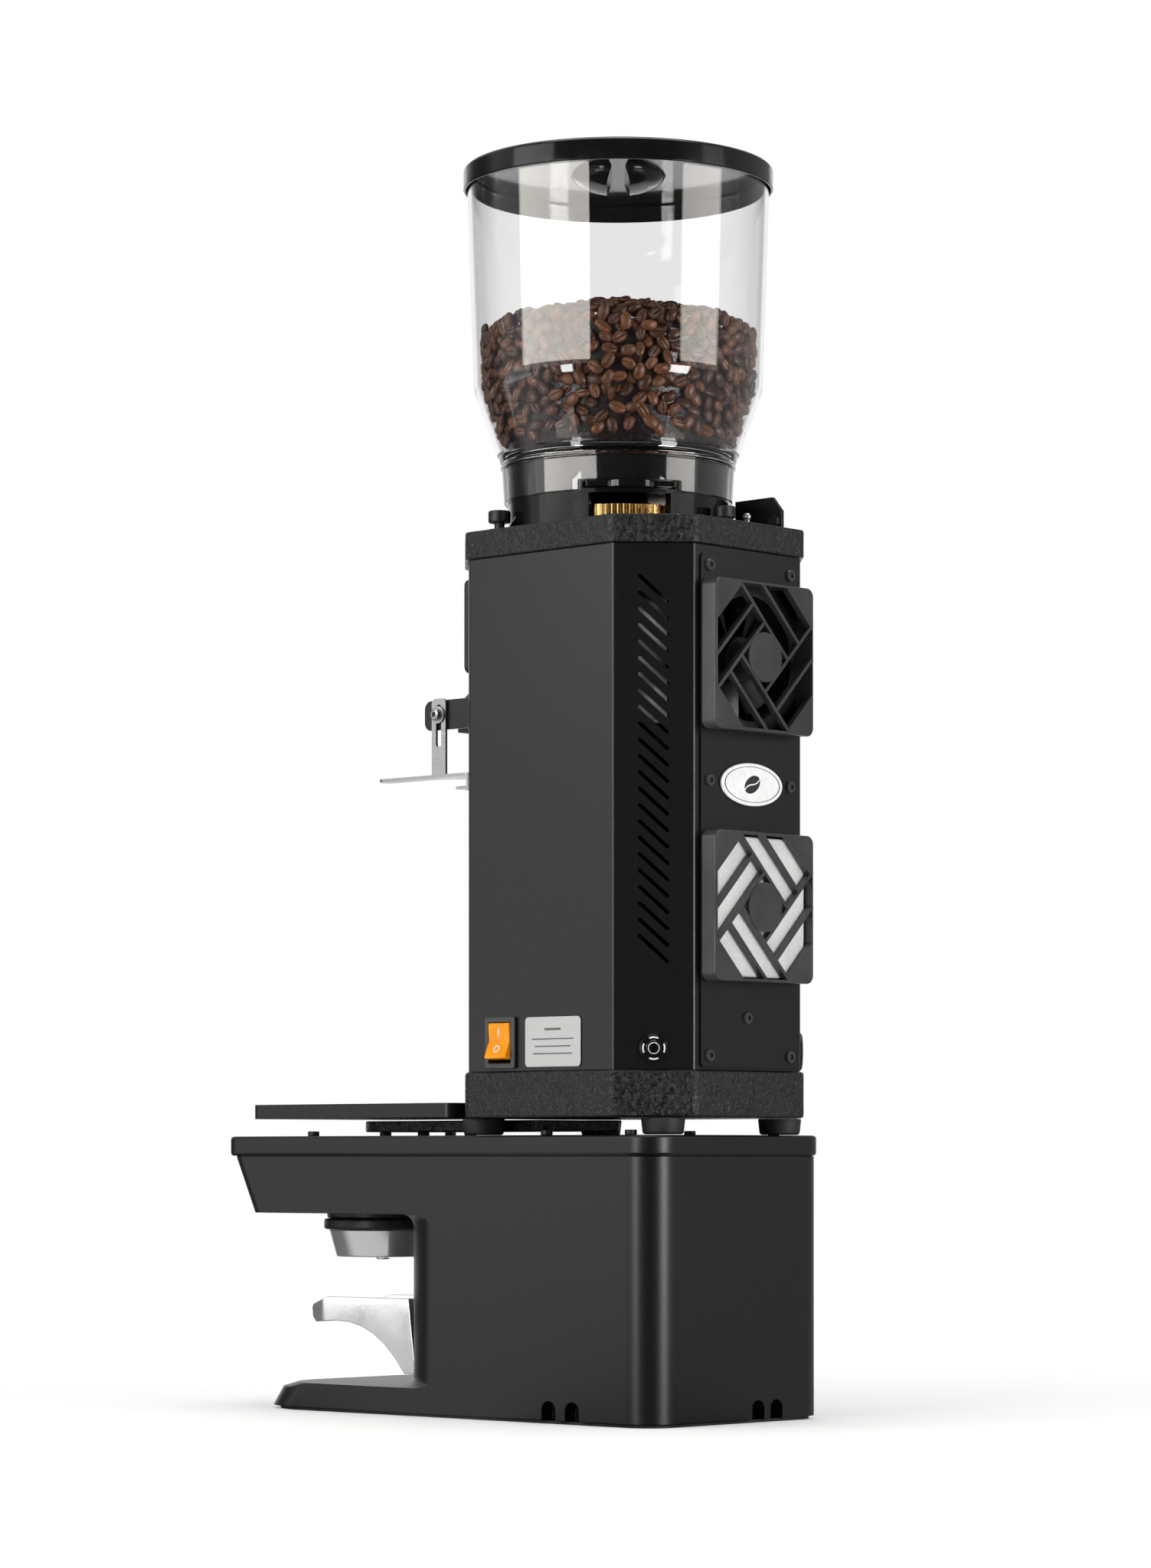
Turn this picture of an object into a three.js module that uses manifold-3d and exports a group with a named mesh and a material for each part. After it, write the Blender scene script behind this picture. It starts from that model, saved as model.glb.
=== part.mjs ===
// Burr coffee grinder standing on an automatic tamper base.
// Millimetres, +Z up. The front faces -Y. The origin is on the hopper and burr axis, at the ground.
import * as THREE from 'three';
import { mergeVertices } from 'three/addons/utils/BufferGeometryUtils.js';
import Module from 'manifold-3d';

const wasm = await Module();
wasm.setup();

// ---------------------------------------------------------------- driving dimensions

const GAP = 0.3;                     // clearance between pieces that touch
const LAP = 1;                       // how far a cutter or a joined rib runs past a face

// Tamper base
const TAMPER_HALF = 77;              // half width in X
const TAMPER_BACK = 96;              // back plane, Y
const TAMPER_BACK_RADIUS = 20;
const TAMPER_WALL = 5;
const PAD_TOP = 2;
const BODY_TOP = 153.4;
const ARM_UNDER = 119.1;
const ARM_FRONT_TOP = -255;
const ARM_FRONT_UNDER = -238;
const ARM_CORNER = 13;
const FOOT_TOP = 16.7;
const FOOT_FRONT = -238;
const FOOT_CORNER = 40;
const COLUMN_FRONT = -77.4;
const COLUMN_NOSE = 57;              // how far the rounded column front bulges past that
const PLATE_TOP = 165.6;
const PLATE_FRONT = -259;
const PLATE_OVERHANG = 1;
const PISTON_Y = -197;
const CLAMP_TOP = 67.5;

// Grinder body
const HALF_X = 78.7;
const BACK_Y = 101.1;
const FRONT_Y = -78;
const CHAMFER = 32.6;                // leg of the 45 degree corner cuts
const SHEET = 2;
const OVERHANG = 2.15;               // how far both castings stand out past the housing
const CASTING_WALL = 5;
const BASE_BOTTOM = 175.5;
const BASE_TOP = 202.3;
const HOUSING_TOP = 500;
const CAP_TOP = 516.5;
const FOOT_X = 50.6;
const FRONT_FOOT_Y = -61;
const REAR_FOOT_Y = 81.4;

// Fans and their guards
const FAN_CENTRES = { upper: 438.2, lower: 295.5 };
const FAN_SIZE = 80;
const FAN_DEPTH = 24;
const FAN_BORE = 36;
const GUARD_SIZE = 85.5;
const GUARD_FACE = 114.4;            // outer face of both guards, Y
const GUARD_FRONT = 4;               // thickness of the ribbed face
const PANEL_THICK = 1.2;
const PANEL_HALF = 41.5;

// Side and corner fittings
const SWITCH = { y: -19, z: 219, width: 24, height: 30 };
const ROCKER_TILT = 10;              // degrees either way
const LABEL = { y: 22.4, z: 219, width: 43.6, height: 28.6 };
const CORNER_X = HALF_X - CHAMFER / 2;
const CORNER_Y = BACK_Y - CHAMFER / 2;
const FITTING_Z = 214.5;

// Burr set, adjustment and hopper
const BURR_R = 37.5;
const CHAMBER_R = 50;
const CHAMBER_BORE = 44;
const GEAR_R = 56;
const GEAR_TEETH = 100;
const GEAR_BOTTOM = 519;
const GEAR_TOP = 529.3;
const COLLAR_R = 65.4;
const COLLAR_BORE = 57.5;
const COLLAR_TOP = 557.6;
const COLLAR_TURN = 49;              // degrees from +X to the middle of the collar's window
const WORM_X = -62.6;
const WORM_Z = 524;
const NECK_R = 68.2;
const NECK_BOTTOM = 536;
const THROAT_R = 22;
const GATE_Z = 537.6;
const GATE_THICK = 3;
const HOPPER_WAIST = { r: 68.9, z: 559 };
const HOPPER_KNEE = { r: 84.8, z: 603 };
const HOPPER_RIM = { r: 88.9, z: 729 };
const HOPPER_WALL = 2.6;
const BEAN_LEVEL = 641;
const LID_R = 91;
const LID_BOTTOM = 720;
const LID_TOP = 733.5;
const GRIP_TURN = 43;                // degrees from +X to the lid's grip bar

// Portafilter fork on the front
const ARM_X = 36;
const ARM_PLATE = 2;
const ARM_BOTTOM = 408.4;
const ARM_TOP = 426.2;
const STRIP_Y = -109.3;
const STRIP_WIDTH = 11.6;
const FORK_Z = 379.8;
const FORK_FRONT = -163;

// ---------------------------------------------------------------- solids from three.js geometry

const radians = THREE.MathUtils.degToRad;

// A closed geometry becomes a solid: shared corners merged, slivers dropped, faces turned outward.
function solid(geometry) {
  const bare = geometry.clone();
  bare.deleteAttribute('normal');
  bare.deleteAttribute('uv');
  const merged = mergeVertices(bare, 1e-4);
  const points = merged.attributes.position.array;
  const corner = (i) => new THREE.Vector3().fromArray(points, i * 3);
  const faces = [];
  let volume = 0;
  for (let i = 0; i < merged.index.count; i += 3) {
    const [a, b, c] = [0, 1, 2].map((k) => merged.index.getX(i + k));
    if (a === b || b === c || a === c) continue;
    faces.push([a, b, c]);
    volume += corner(a).dot(corner(b).cross(corner(c)));
  }
  const outward = volume > 0 ? faces : faces.map(([a, b, c]) => [a, c, b]);
  return new wasm.Manifold(new wasm.Mesh({
    numProp: 3,
    vertProperties: new Float32Array(points),
    triVerts: new Uint32Array(outward.flat()),
  }));
}

function geometryOf(shape) {
  const { vertProperties, triVerts } = shape.getMesh();
  const geometry = new THREE.BufferGeometry();
  geometry.setAttribute('position', new THREE.BufferAttribute(new Float32Array(vertProperties), 3));
  geometry.setIndex(Array.from(triVerts));
  geometry.computeVertexNormals();
  return geometry;
}

// Outline in X and Y, raised from bottom to top.
function prism(outline, bottom, top, curveSegments = 4) {
  const geometry = new THREE.ExtrudeGeometry(outline, {
    depth: top - bottom, bevelEnabled: false, curveSegments,
  });
  geometry.translate(0, 0, bottom);
  return solid(geometry);
}

// The same with both rims rounded.
function softPrism(outline, bottom, top, rim, curveSegments = 4) {
  const geometry = new THREE.ExtrudeGeometry(outline, {
    depth: top - bottom - 2 * rim,
    bevelThickness: rim,
    bevelSize: rim,
    bevelOffset: -rim,
    bevelSegments: 1,
    curveSegments,
  });
  geometry.translate(0, 0, bottom + rim);
  return solid(geometry);
}

// Outline in Y and Z, reaching from one X to another.
function sidePrism(outline, from, to, curveSegments = 4) {
  const geometry = new THREE.ExtrudeGeometry(outline, { depth: to - from, bevelEnabled: false, curveSegments });
  geometry.rotateX(Math.PI / 2);
  geometry.rotateZ(Math.PI / 2);
  geometry.translate(from, 0, 0);
  return solid(geometry);
}

// Profile of [radius, height] corners turned about Z.
function turned(profile, segments = 30) {
  const points = profile.map(([r, z]) => new THREE.Vector2(r, z));
  const geometry = new THREE.LatheGeometry(points, segments);
  geometry.rotateX(Math.PI / 2);
  return solid(geometry);
}

function rod(radius, bottom, top, segments = 24) {
  return turned([[0, bottom], [radius, bottom], [radius, top], [0, top]], segments);
}

function tube(bore, radius, bottom, top, segments = 36) {
  return turned([[bore, bottom], [radius, bottom], [radius, top], [bore, top], [bore, bottom]], segments);
}

function block(x0, x1, y0, y1, z0, z1) {
  const geometry = new THREE.BoxGeometry(x1 - x0, y1 - y0, z1 - z0);
  geometry.translate((x0 + x1) / 2, (y0 + y1) / 2, (z0 + z1) / 2);
  return solid(geometry);
}

// A round bar that lies along Y.
function barAlongY(radius, y0, y1, segments = 24) {
  return rod(radius, -y1, -y0, segments).rotate([90, 0, 0]);
}

// A round bar that lies along X.
function barAlongX(radius, x0, x1, segments = 20) {
  return rod(radius, x0, x1, segments).rotate([0, 90, 0]);
}

const join = (...shapes) => shapes.reduce((sum, shape) => sum.add(shape));
const cut = (shape, ...cutters) => cutters.reduce((rest, cutter) => rest.subtract(cutter), shape);

// ---------------------------------------------------------------- outlines

function polygon(corners) {
  return new THREE.Shape(corners.map(([x, y]) => new THREE.Vector2(x, y)));
}

// Rectangle with its own radius at each corner, anticlockwise from the lowest corner.
function softRectangle(x0, x1, y0, y1, radii) {
  const [a, b, c, d] = Array.isArray(radii) ? radii : [radii, radii, radii, radii];
  const shape = new THREE.Shape();
  const corner = (x, y, radius, quarter) => {
    if (radius === 0) shape.lineTo(x, y);
    else shape.absarc(x, y, radius, quarter * Math.PI / 2, (quarter + 1) * Math.PI / 2);
  };
  shape.moveTo(x0 + a, y0);
  corner(x1 - b, y0 + b, b, -1);
  corner(x1 - c, y1 - c, c, 0);
  corner(x0 + d, y1 - d, d, 1);
  if (a > 0) corner(x0 + a, y0 + a, a, 2);
  return shape;
}

// Plan of the arm or the foot: square-sided, rounded in front, and ending inside the column.
function limbPlan(front, radius, inset = 0) {
  const side = TAMPER_HALF - inset;
  return softRectangle(-side, side, front + inset, 0, [radius, radius, 0, 0]);
}

// The grinder's octagon, grown outward by an even margin.
function octagon(margin) {
  const leg = CHAMFER + margin * (2 - Math.SQRT2);
  const x = HALF_X + margin;
  const back = BACK_Y + margin;
  const front = FRONT_Y - margin;
  return polygon([
    [x - leg, front], [x, front + leg], [x, back - leg], [x - leg, back],
    [leg - x, back], [-x, back - leg], [-x, front + leg], [leg - x, front],
  ]);
}

// Plan of the tamper: square sides, rounded back and front corners.
function tamperPlan(front, frontRadius, inset = 0) {
  const side = TAMPER_HALF - inset;
  const back = TAMPER_BACK - inset;
  const backRadius = Math.max(TAMPER_BACK_RADIUS - inset, 2);
  return softRectangle(-side, side, front + inset, back, [frontRadius, frontRadius, backRadius, backRadius]);
}

// Plan of the column: the same back, and a front that bulges forward as half an ellipse.
function columnPlan(inset = 0) {
  const side = TAMPER_HALF - inset;
  const back = TAMPER_BACK - inset;
  const radius = TAMPER_BACK_RADIUS - inset;
  const shape = new THREE.Shape();
  shape.moveTo(side, COLUMN_FRONT);
  shape.lineTo(side, back - radius);
  shape.absarc(side - radius, back - radius, radius, 0, Math.PI / 2);
  shape.lineTo(radius - side, back);
  shape.absarc(radius - side, back - radius, radius, Math.PI / 2, Math.PI);
  shape.lineTo(-side, COLUMN_FRONT);
  shape.absellipse(0, COLUMN_FRONT, side, COLUMN_NOSE - inset, Math.PI, Math.PI * 2);
  return shape;
}

// ---------------------------------------------------------------- model tree

const model = new THREE.Group();

function piece(name, shape, { color, roughness, metalness = 0 }, position = [0, 0, 0]) {
  const material = new THREE.MeshStandardMaterial({ color, roughness, metalness });
  const mesh = new THREE.Mesh(geometryOf(shape), material);
  mesh.name = name;
  mesh.position.set(...position);
  model.add(mesh);
}

const FINISH = {
  satinBlack: { color: '#2b2b2c', roughness: 0.45 },
  glossBlack: { color: '#0c0c0d', roughness: 0.12 },
  wrinkleBlack: { color: '#262627', roughness: 0.7 },
  plasticBlack: { color: '#202021', roughness: 0.5 },
  rubber: { color: '#141414', roughness: 0.9 },
  chrome: { color: '#d9dadc', roughness: 0.08, metalness: 1 },
  stainless: { color: '#b9bbbd', roughness: 0.3, metalness: 1 },
  steel: { color: '#8c8e90', roughness: 0.4, metalness: 1 },
  aluminium: { color: '#a9abad', roughness: 0.45, metalness: 1 },
  brass: { color: '#c79a45', roughness: 0.3, metalness: 1 },
  clear: { color: '#e8e8ea', roughness: 0.05 },
  beans: { color: '#4a2a18', roughness: 0.55 },
  felt: { color: '#dcdcdc', roughness: 1 },
  amber: { color: '#e08a1a', roughness: 0.25 },
  silver: { color: '#b4b4b4', roughness: 0.4, metalness: 0.6 },
};

// ---------------------------------------------------------------- tamper base

function cableNotches() {
  const height = 11;
  const half = 5.5;
  const arch = (width) => {
    const shape = new THREE.Shape();
    shape.moveTo(-width, -LAP);
    shape.lineTo(width, -LAP);
    shape.lineTo(width, height - width);
    shape.absarc(0, height - width, width, 0, Math.PI);
    return shape;
  };
  const side = sidePrism(arch(half), TAMPER_HALF - 2 * TAMPER_WALL, TAMPER_HALF + LAP);
  const back = side.rotate([0, 0, 90]).translate([0, TAMPER_BACK - TAMPER_HALF, 0]);
  return [
    side.translate([0, 16.5, PAD_TOP]), side.translate([0, 35, PAD_TOP]),
    back.translate([-15, 0, PAD_TOP]), back.translate([-31, 0, PAD_TOP]),
  ];
}

function tamperArm() {
  const plan = prism(limbPlan(ARM_FRONT_TOP, ARM_CORNER), ARM_UNDER, BODY_TOP);
  const profile = polygon([
    [LAP, ARM_UNDER - LAP], [LAP, BODY_TOP + LAP],
    [ARM_FRONT_TOP, BODY_TOP + LAP], [ARM_FRONT_TOP, BODY_TOP], [ARM_FRONT_UNDER, ARM_UNDER],
    [ARM_FRONT_UNDER, ARM_UNDER - LAP],
  ]);
  return plan.intersect(sidePrism(profile, -TAMPER_HALF - LAP, TAMPER_HALF + LAP));
}

// The foot plate's front end slopes back by this much from the ground to its top.
const FOOT_SLOPE = 9;

function tamperFoot() {
  const plan = prism(limbPlan(FOOT_FRONT, FOOT_CORNER), PAD_TOP, FOOT_TOP, 6);
  const profile = polygon([
    [LAP, PAD_TOP - LAP], [LAP, FOOT_TOP + LAP],
    [FOOT_FRONT + 2.4 * FOOT_SLOPE, FOOT_TOP + LAP], [FOOT_FRONT + 2.4 * FOOT_SLOPE, FOOT_TOP],
    [FOOT_FRONT + FOOT_SLOPE, FOOT_TOP - 3], [FOOT_FRONT, PAD_TOP], [FOOT_FRONT, PAD_TOP - LAP],
  ]);
  return plan.intersect(sidePrism(profile, -TAMPER_HALF - LAP, TAMPER_HALF + LAP));
}

function tamperBody() {
  const column = prism(columnPlan(), PAD_TOP, BODY_TOP, 7);
  const columnHollow = prism(columnPlan(TAMPER_WALL), PAD_TOP + TAMPER_WALL, BODY_TOP + LAP, 6);
  const armHollow = prism(
    limbPlan(ARM_FRONT_UNDER, 8, TAMPER_WALL), ARM_UNDER + TAMPER_WALL, BODY_TOP + LAP, 4,
  );
  const pistonHole = rod(10, ARM_UNDER - LAP, ARM_UNDER + TAMPER_WALL + LAP, 24).translate([0, PISTON_Y, 0]);
  const outside = join(column, tamperArm(), tamperFoot());
  return cut(outside, columnHollow, armHollow, pistonHole, ...cableNotches());
}

// Polished fork that holds the portafilter under the piston: two tines with raised tips.
function portafilterClamp() {
  const side = new THREE.Shape();
  side.moveTo(-234.5, 60);
  side.lineTo(-233, 62.3);
  side.lineTo(-213, CLAMP_TOP);
  side.lineTo(-142, CLAMP_TOP);
  side.lineTo(-136, 22);
  side.lineTo(-146, 22);
  side.quadraticCurveTo(-170, 53.5, -205, 52.8);
  side.lineTo(-229, 51.3);
  side.lineTo(-233.5, 54.5);
  const plan = polygon([[-33, -213], [-25, -235], [25, -235], [33, -213], [33, -130], [-33, -130]]);
  const fork = sidePrism(side, -40, 40, 6).intersect(prism(plan, 10, 90));
  const mouth = softRectangle(-22, 22, -260, -160, [1, 1, 21, 21]);
  const column = prism(columnPlan(-GAP), 10, 90, 8);
  return cut(fork, prism(mouth, 10, 90, 6), column);
}

function addTamper() {
  const plate = tamperPlan(PLATE_FRONT + PLATE_OVERHANG, ARM_CORNER, -PLATE_OVERHANG);
  const padOutline = tamperPlan(FOOT_FRONT, FOOT_CORNER, 3);
  piece('tamper_foot_pad', prism(padOutline, 0, PAD_TOP - GAP), FINISH.rubber);
  piece('tamper_body', tamperBody(), FINISH.satinBlack);
  piece('tamper_top_plate', softPrism(plate, BODY_TOP + GAP, PLATE_TOP, 1.5), FINISH.satinBlack);
  piece('tamper_motor', rod(30, 20, 115), FINISH.steel, [0, 30, 0]);
  const gearbox = cut(block(-30, 30, -28, 28, 126, 150), rod(8.4, 120, 152));
  piece('tamper_gearbox', gearbox, FINISH.aluminium, [0, PISTON_Y, 0]);
  piece('piston_spindle', rod(8, 115.5, 151), FINISH.steel, [0, PISTON_Y, 0]);
  const collar = turned([[0, 108.6], [35.5, 108.6], [36.7, 110], [36.7, 114], [35.5, 115.2], [0, 115.2]]);
  piece('piston_collar', collar, FINISH.plasticBlack, [0, PISTON_Y, 0]);
  const head = turned([
    [0, 90], [4.5, 90], [5, 91.6], [28.8, 91.6], [29.6, 92.4], [33.8, 107.4], [33.2, 108.3], [0, 108.3],
  ]);
  piece('piston_head', head, FINISH.chrome, [0, PISTON_Y, 0]);
  piece('portafilter_clamp', portafilterClamp(), FINISH.chrome);
  const lean = Math.atan2(ARM_FRONT_UNDER - ARM_FRONT_TOP, BODY_TOP - ARM_UNDER) * 180 / Math.PI;
  const display = block(-32, 32, -1.6, -GAP, -11, 11).rotate([lean, 0, 0]);
  const middle = [0, (ARM_FRONT_TOP + ARM_FRONT_UNDER) / 2, (BODY_TOP + ARM_UNDER) / 2];
  piece('tamper_display', display, FINISH.glossBlack, middle);
}

// ---------------------------------------------------------------- grinder body

function addFeet() {
  const foot = turned([
    [0, PLATE_TOP + GAP], [11.2, PLATE_TOP + GAP], [11.8, PLATE_TOP + 1],
    [12.6, BASE_BOTTOM - GAP], [0, BASE_BOTTOM - GAP],
  ], 28);
  for (const [side, x] of [['right', FOOT_X], ['left', -FOOT_X]]) {
    piece(`foot_front_${side}`, foot, FINISH.rubber, [x, FRONT_FOOT_Y, 0]);
    piece(`foot_rear_${side}`, foot, FINISH.rubber, [x, REAR_FOOT_Y, 0]);
  }
}

function baseCasting() {
  const outside = softPrism(octagon(OVERHANG), BASE_BOTTOM, BASE_TOP, 1.5);
  const hollow = prism(octagon(OVERHANG - CASTING_WALL), BASE_BOTTOM + CASTING_WALL, BASE_TOP + LAP);
  return cut(outside, hollow);
}

function topCap() {
  const outside = softPrism(octagon(OVERHANG), HOUSING_TOP - 4, CAP_TOP, 2.5);
  const under = prism(octagon(3 * OVERHANG), HOUSING_TOP - 5, HOUSING_TOP + GAP);
  const hollow = prism(octagon(OVERHANG - CASTING_WALL), HOUSING_TOP - LAP, CAP_TOP - 6);
  return cut(outside, under, hollow, rod(CHAMBER_R + 1, HOUSING_TOP, CAP_TOP + LAP, 40));
}

// Slanted cooling slots down both rear corners.
function ventSlots() {
  const count = 23;
  const pitch = 9.25;
  const top = 474.3;
  const run = 17.2;
  const drop = 15.8;
  const width = 2.2;
  const length = Math.hypot(run, drop);
  const slot = block(-length / 2, length / 2, -width / 2, width / 2, -6, 6)
    .rotate([0, 0, -Math.atan2(drop, run) * 180 / Math.PI]);
  const corner = slot.rotate([90, 0, 0]).rotate([0, 0, 135]).translate([CORNER_X, CORNER_Y, 0]);
  const slots = [];
  for (let i = 0; i < count; i += 1) {
    const right = corner.translate([0, 0, top - i * pitch]);
    slots.push(right, right.mirror([1, 0, 0]));
  }
  return slots;
}

// A bar that points out through a rear corner; side is 1 for +X and -1 for -X.
function throughCorner(shape, side) {
  return shape.rotate([0, 90, 0]).rotate([0, 0, side > 0 ? 45 : 135])
    .translate([side * CORNER_X, CORNER_Y, FITTING_Z]);
}

function housing() {
  const outside = prism(octagon(0), BASE_TOP + GAP, HOUSING_TOP);
  const hollow = prism(octagon(-SHEET), BASE_TOP, HOUSING_TOP + LAP);
  const { y, z, width, height } = SWITCH;
  const switchHole = block(
    HALF_X - 5, HALF_X + 5, y - width / 2 + 2, y + width / 2 - 2, z - height / 2 + 2, z + height / 2 - 2,
  );
  const rearHole = block(-36, 36, BACK_Y - 5, BACK_Y + 5, 240, 484);
  const spoutHole = block(-16, 16, FRONT_Y - 5, FRONT_Y + 5, 409, 434);
  return cut(
    outside, hollow, switchHole, rearHole, spoutHole,
    throughCorner(rod(6.7, -12, 12, 16), 1), throughCorner(rod(8.8, -12, 12, 16), -1), ...ventSlots(),
  );
}

function backPanel() {
  const plate = prism(softRectangle(-PANEL_HALF, PANEL_HALF, 204, 495, 2.5), -PANEL_THICK, 0, 3)
    .rotate([90, 0, 0]).translate([0, BACK_Y + GAP, 0]);
  const holes = Object.values(FAN_CENTRES)
    .map((z) => barAlongY(FAN_BORE, BACK_Y - 5, BACK_Y + 5, 28).translate([0, 0, z]));
  return cut(plate, ...holes);
}

function addGrinderBody() {
  piece('base_casting', baseCasting(), FINISH.wrinkleBlack);
  piece('housing', housing(), FINISH.satinBlack);
  piece('back_panel', backPanel(), FINISH.satinBlack);
  piece('top_cap', topCap(), FINISH.wrinkleBlack);
  const tongue = softRectangle(-36, 36, -196, -30, [34, 34, 4, 4]);
  piece('tray_support', softPrism(tongue, 168.2, 174.8, 0.8, 5), FINISH.wrinkleBlack);
  const tray = softPrism(softRectangle(-58.5, 58.5, -254, -81.5, 6), 176.3, 185.1, 1, 4);
  const well = prism(softRectangle(-56, 56, -251.5, -84, 4), 178.3, 190, 4);
  piece('drip_tray', cut(tray, well), FINISH.satinBlack);
}

// ---------------------------------------------------------------- fans

// Both fan assemblies are built about the middle of the fan's outer face, looking out along +Y.
function fanFrame() {
  const outline = softRectangle(-FAN_SIZE / 2, FAN_SIZE / 2, -FAN_SIZE / 2, FAN_SIZE / 2, 4);
  const shell = cut(prism(outline, 0, FAN_DEPTH, 2), rod(FAN_BORE + 1.5, -LAP, FAN_DEPTH + LAP, 24));
  const spokes = [0, 60, 120].map((turn) => block(-38.5, 38.5, -1.5, 1.5, 0, 3).rotate([0, 0, turn]));
  return join(shell, rod(14, 0, 3, 24), ...spokes);
}

function fanRotor() {
  const blade = block(10, 35, -0.6, 0.6, -7, 7).rotate([38, 0, 0]).translate([0, 0, 13.5]);
  const blades = [];
  for (let i = 0; i < 7; i += 1) {
    blades.push(blade.rotate([0, 0, i * 360 / 7]));
  }
  return join(rod(13.5, 4, 22, 24), ...blades);
}

// Square guard with an octagonal window, crossed by four pairs of slanted ribs around a plain disc.
function fanGuard() {
  const half = GUARD_SIZE / 2;
  const depth = GUARD_FACE - BACK_Y - PANEL_THICK - 2 * GAP;
  const wall = 2;
  const cornerCut = 0.7;
  const ribs = [0.235, 0.465];
  const ribWidth = 2;
  const cover = prism(softRectangle(-half, half, -half, half, 5), 0, depth, 3);
  const inside = prism(softRectangle(wall - half, half - wall, wall - half, half - wall, 3), -LAP,
    depth - GUARD_FRONT, 2);
  const reach = half - 0.02 * GUARD_SIZE;
  const corner = cornerCut * GUARD_SIZE - reach;
  const window = polygon([
    [reach, -corner], [reach, corner], [corner, reach], [-corner, reach],
    [-reach, corner], [-reach, -corner], [-corner, -reach], [corner, -reach],
  ]);
  const bars = [];
  for (const offset of ribs) {
    const far = (0.98 - offset) * GUARD_SIZE / Math.SQRT2;
    const near = ribs[0] * GUARD_SIZE / Math.SQRT2;
    const bar = block(-far, near, -ribWidth / 2, ribWidth / 2, depth - GUARD_FRONT, depth - GAP)
      .translate([0, offset * GUARD_SIZE / Math.SQRT2, 0]).rotate([0, 0, -45]);
    for (let turn = 0; turn < 360; turn += 90) {
      bars.push(bar.rotate([0, 0, turn]));
    }
  }
  const shell = cut(cover, inside, prism(window, -LAP, depth + LAP));
  return join(shell, ...bars, rod(14.25, depth - GUARD_FRONT, depth, 32));
}

// Turns a shape made in plan so that its top faces back, along +Y, at a height.
function onBack(shape, y, z) {
  return shape.rotate([-90, 0, 0]).rotate([0, 180, 0]).translate([0, y, z]);
}

function addFans() {
  const inner = BACK_Y - SHEET - FAN_DEPTH - GAP;
  const outer = BACK_Y + PANEL_THICK + 2 * GAP;
  for (const [level, z] of Object.entries(FAN_CENTRES)) {
    piece(`${level}_fan_frame`, onBack(fanFrame(), 0, 0), FINISH.plasticBlack, [0, inner, z]);
    piece(`${level}_fan_rotor`, onBack(fanRotor(), 0, 0), FINISH.plasticBlack, [0, inner, z]);
    piece(`${level}_fan_guard`, onBack(fanGuard(), 0, 0), FINISH.plasticBlack, [0, outer, z]);
  }
  const pad = prism(softRectangle(-40, 40, -40, 40, 3), 1.5, 6.5, 2);
  piece('filter_pad', onBack(pad, 0, 0), FINISH.felt, [0, outer, FAN_CENTRES.lower]);
  const oval = new THREE.Shape();
  oval.absellipse(0, 0, 26.5, 12.25, 0, Math.PI * 2);
  piece('badge', onBack(softPrism(oval, 0, 1.6, 0.5, 14), 0, 0), FINISH.silver,
    [0, BACK_Y + PANEL_THICK + 2 * GAP, 366]);
}

// ---------------------------------------------------------------- side and corner fittings

function rockerSwitch() {
  const { y, z, width, height } = SWITCH;
  const flange = prism(softRectangle(-width / 2, width / 2, -height / 2, height / 2, 1.5), 0, 2, 2);
  const sleeve = block(-width / 2 + 2.4, width / 2 - 2.4, -height / 2 + 2.4, height / 2 - 2.4, -16, 1);
  const mouth = block(-width / 2 + 3.2, width / 2 - 3.2, -height / 2 + 3.2, height / 2 - 3.2, -17, 4);
  const bezel = cut(join(flange, sleeve), mouth).rotate([0, 90, 0]).rotate([90, 0, 0]);
  piece('switch_bezel', bezel, FINISH.plasticBlack, [HALF_X + GAP, y, z]);
}

// Rocker in X and Z about its pivot: two flats that meet in a shallow valley.
function rocker() {
  const halfWidth = SWITCH.width / 2 - 3.7;
  const outline = polygon([
    [-9, -4], [-10.2, 3], [-10.4, 7.2], [-9.6, 7.6], [0, 5.4], [9.6, 7.6], [10.4, 7.2], [10.2, 3], [9, -4],
  ]);
  return prism(outline, -halfWidth, halfWidth);
}

function addSideFittings() {
  rockerSwitch();
  // Made with its height along X, its depth along Y and its width along Z, then stood up.
  const upright = rocker().rotate([90, 0, 0]).rotate([0, 90, 0]);
  const tilted = upright.rotate([0, -ROCKER_TILT, 0]);
  piece('rocker', tilted, FINISH.amber, [HALF_X - 3, SWITCH.y, SWITCH.z]);
  const label = prism(
    softRectangle(-LABEL.width / 2, LABEL.width / 2, -LABEL.height / 2, LABEL.height / 2, 2.5), GAP, 0.9, 3,
  );
  piece('label_plate', label.rotate([90, 0, 0]).rotate([0, 0, 90]), FINISH.silver,
    [HALF_X, LABEL.y, LABEL.z]);
}

function addCornerFittings() {
  const holder = turned([
    [5, -22], [6.2, -22], [6.2, GAP], [8.1, GAP], [8.1, 1.6], [7.5, 2.4], [5, 2.4], [5, -22],
  ], 20);
  piece('fuse_holder', throughCorner(holder, 1), FINISH.plasticBlack);
  const slot = block(-4, 4, -0.7, 0.7, 1.6, 4);
  piece('fuse_cap', throughCorner(cut(rod(4.6, -18, 2.8, 24), slot), 1), FINISH.plasticBlack);
  const gland = turned([
    [4, -14], [8.2, -14], [8.2, GAP], [11, GAP], [11, 1.8], [10.2, 2.7], [4, 2.7], [4, -14],
  ], 20);
  piece('power_inlet', throughCorner(gland, -1), FINISH.plasticBlack);
}

// ---------------------------------------------------------------- motor and burrs

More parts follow.
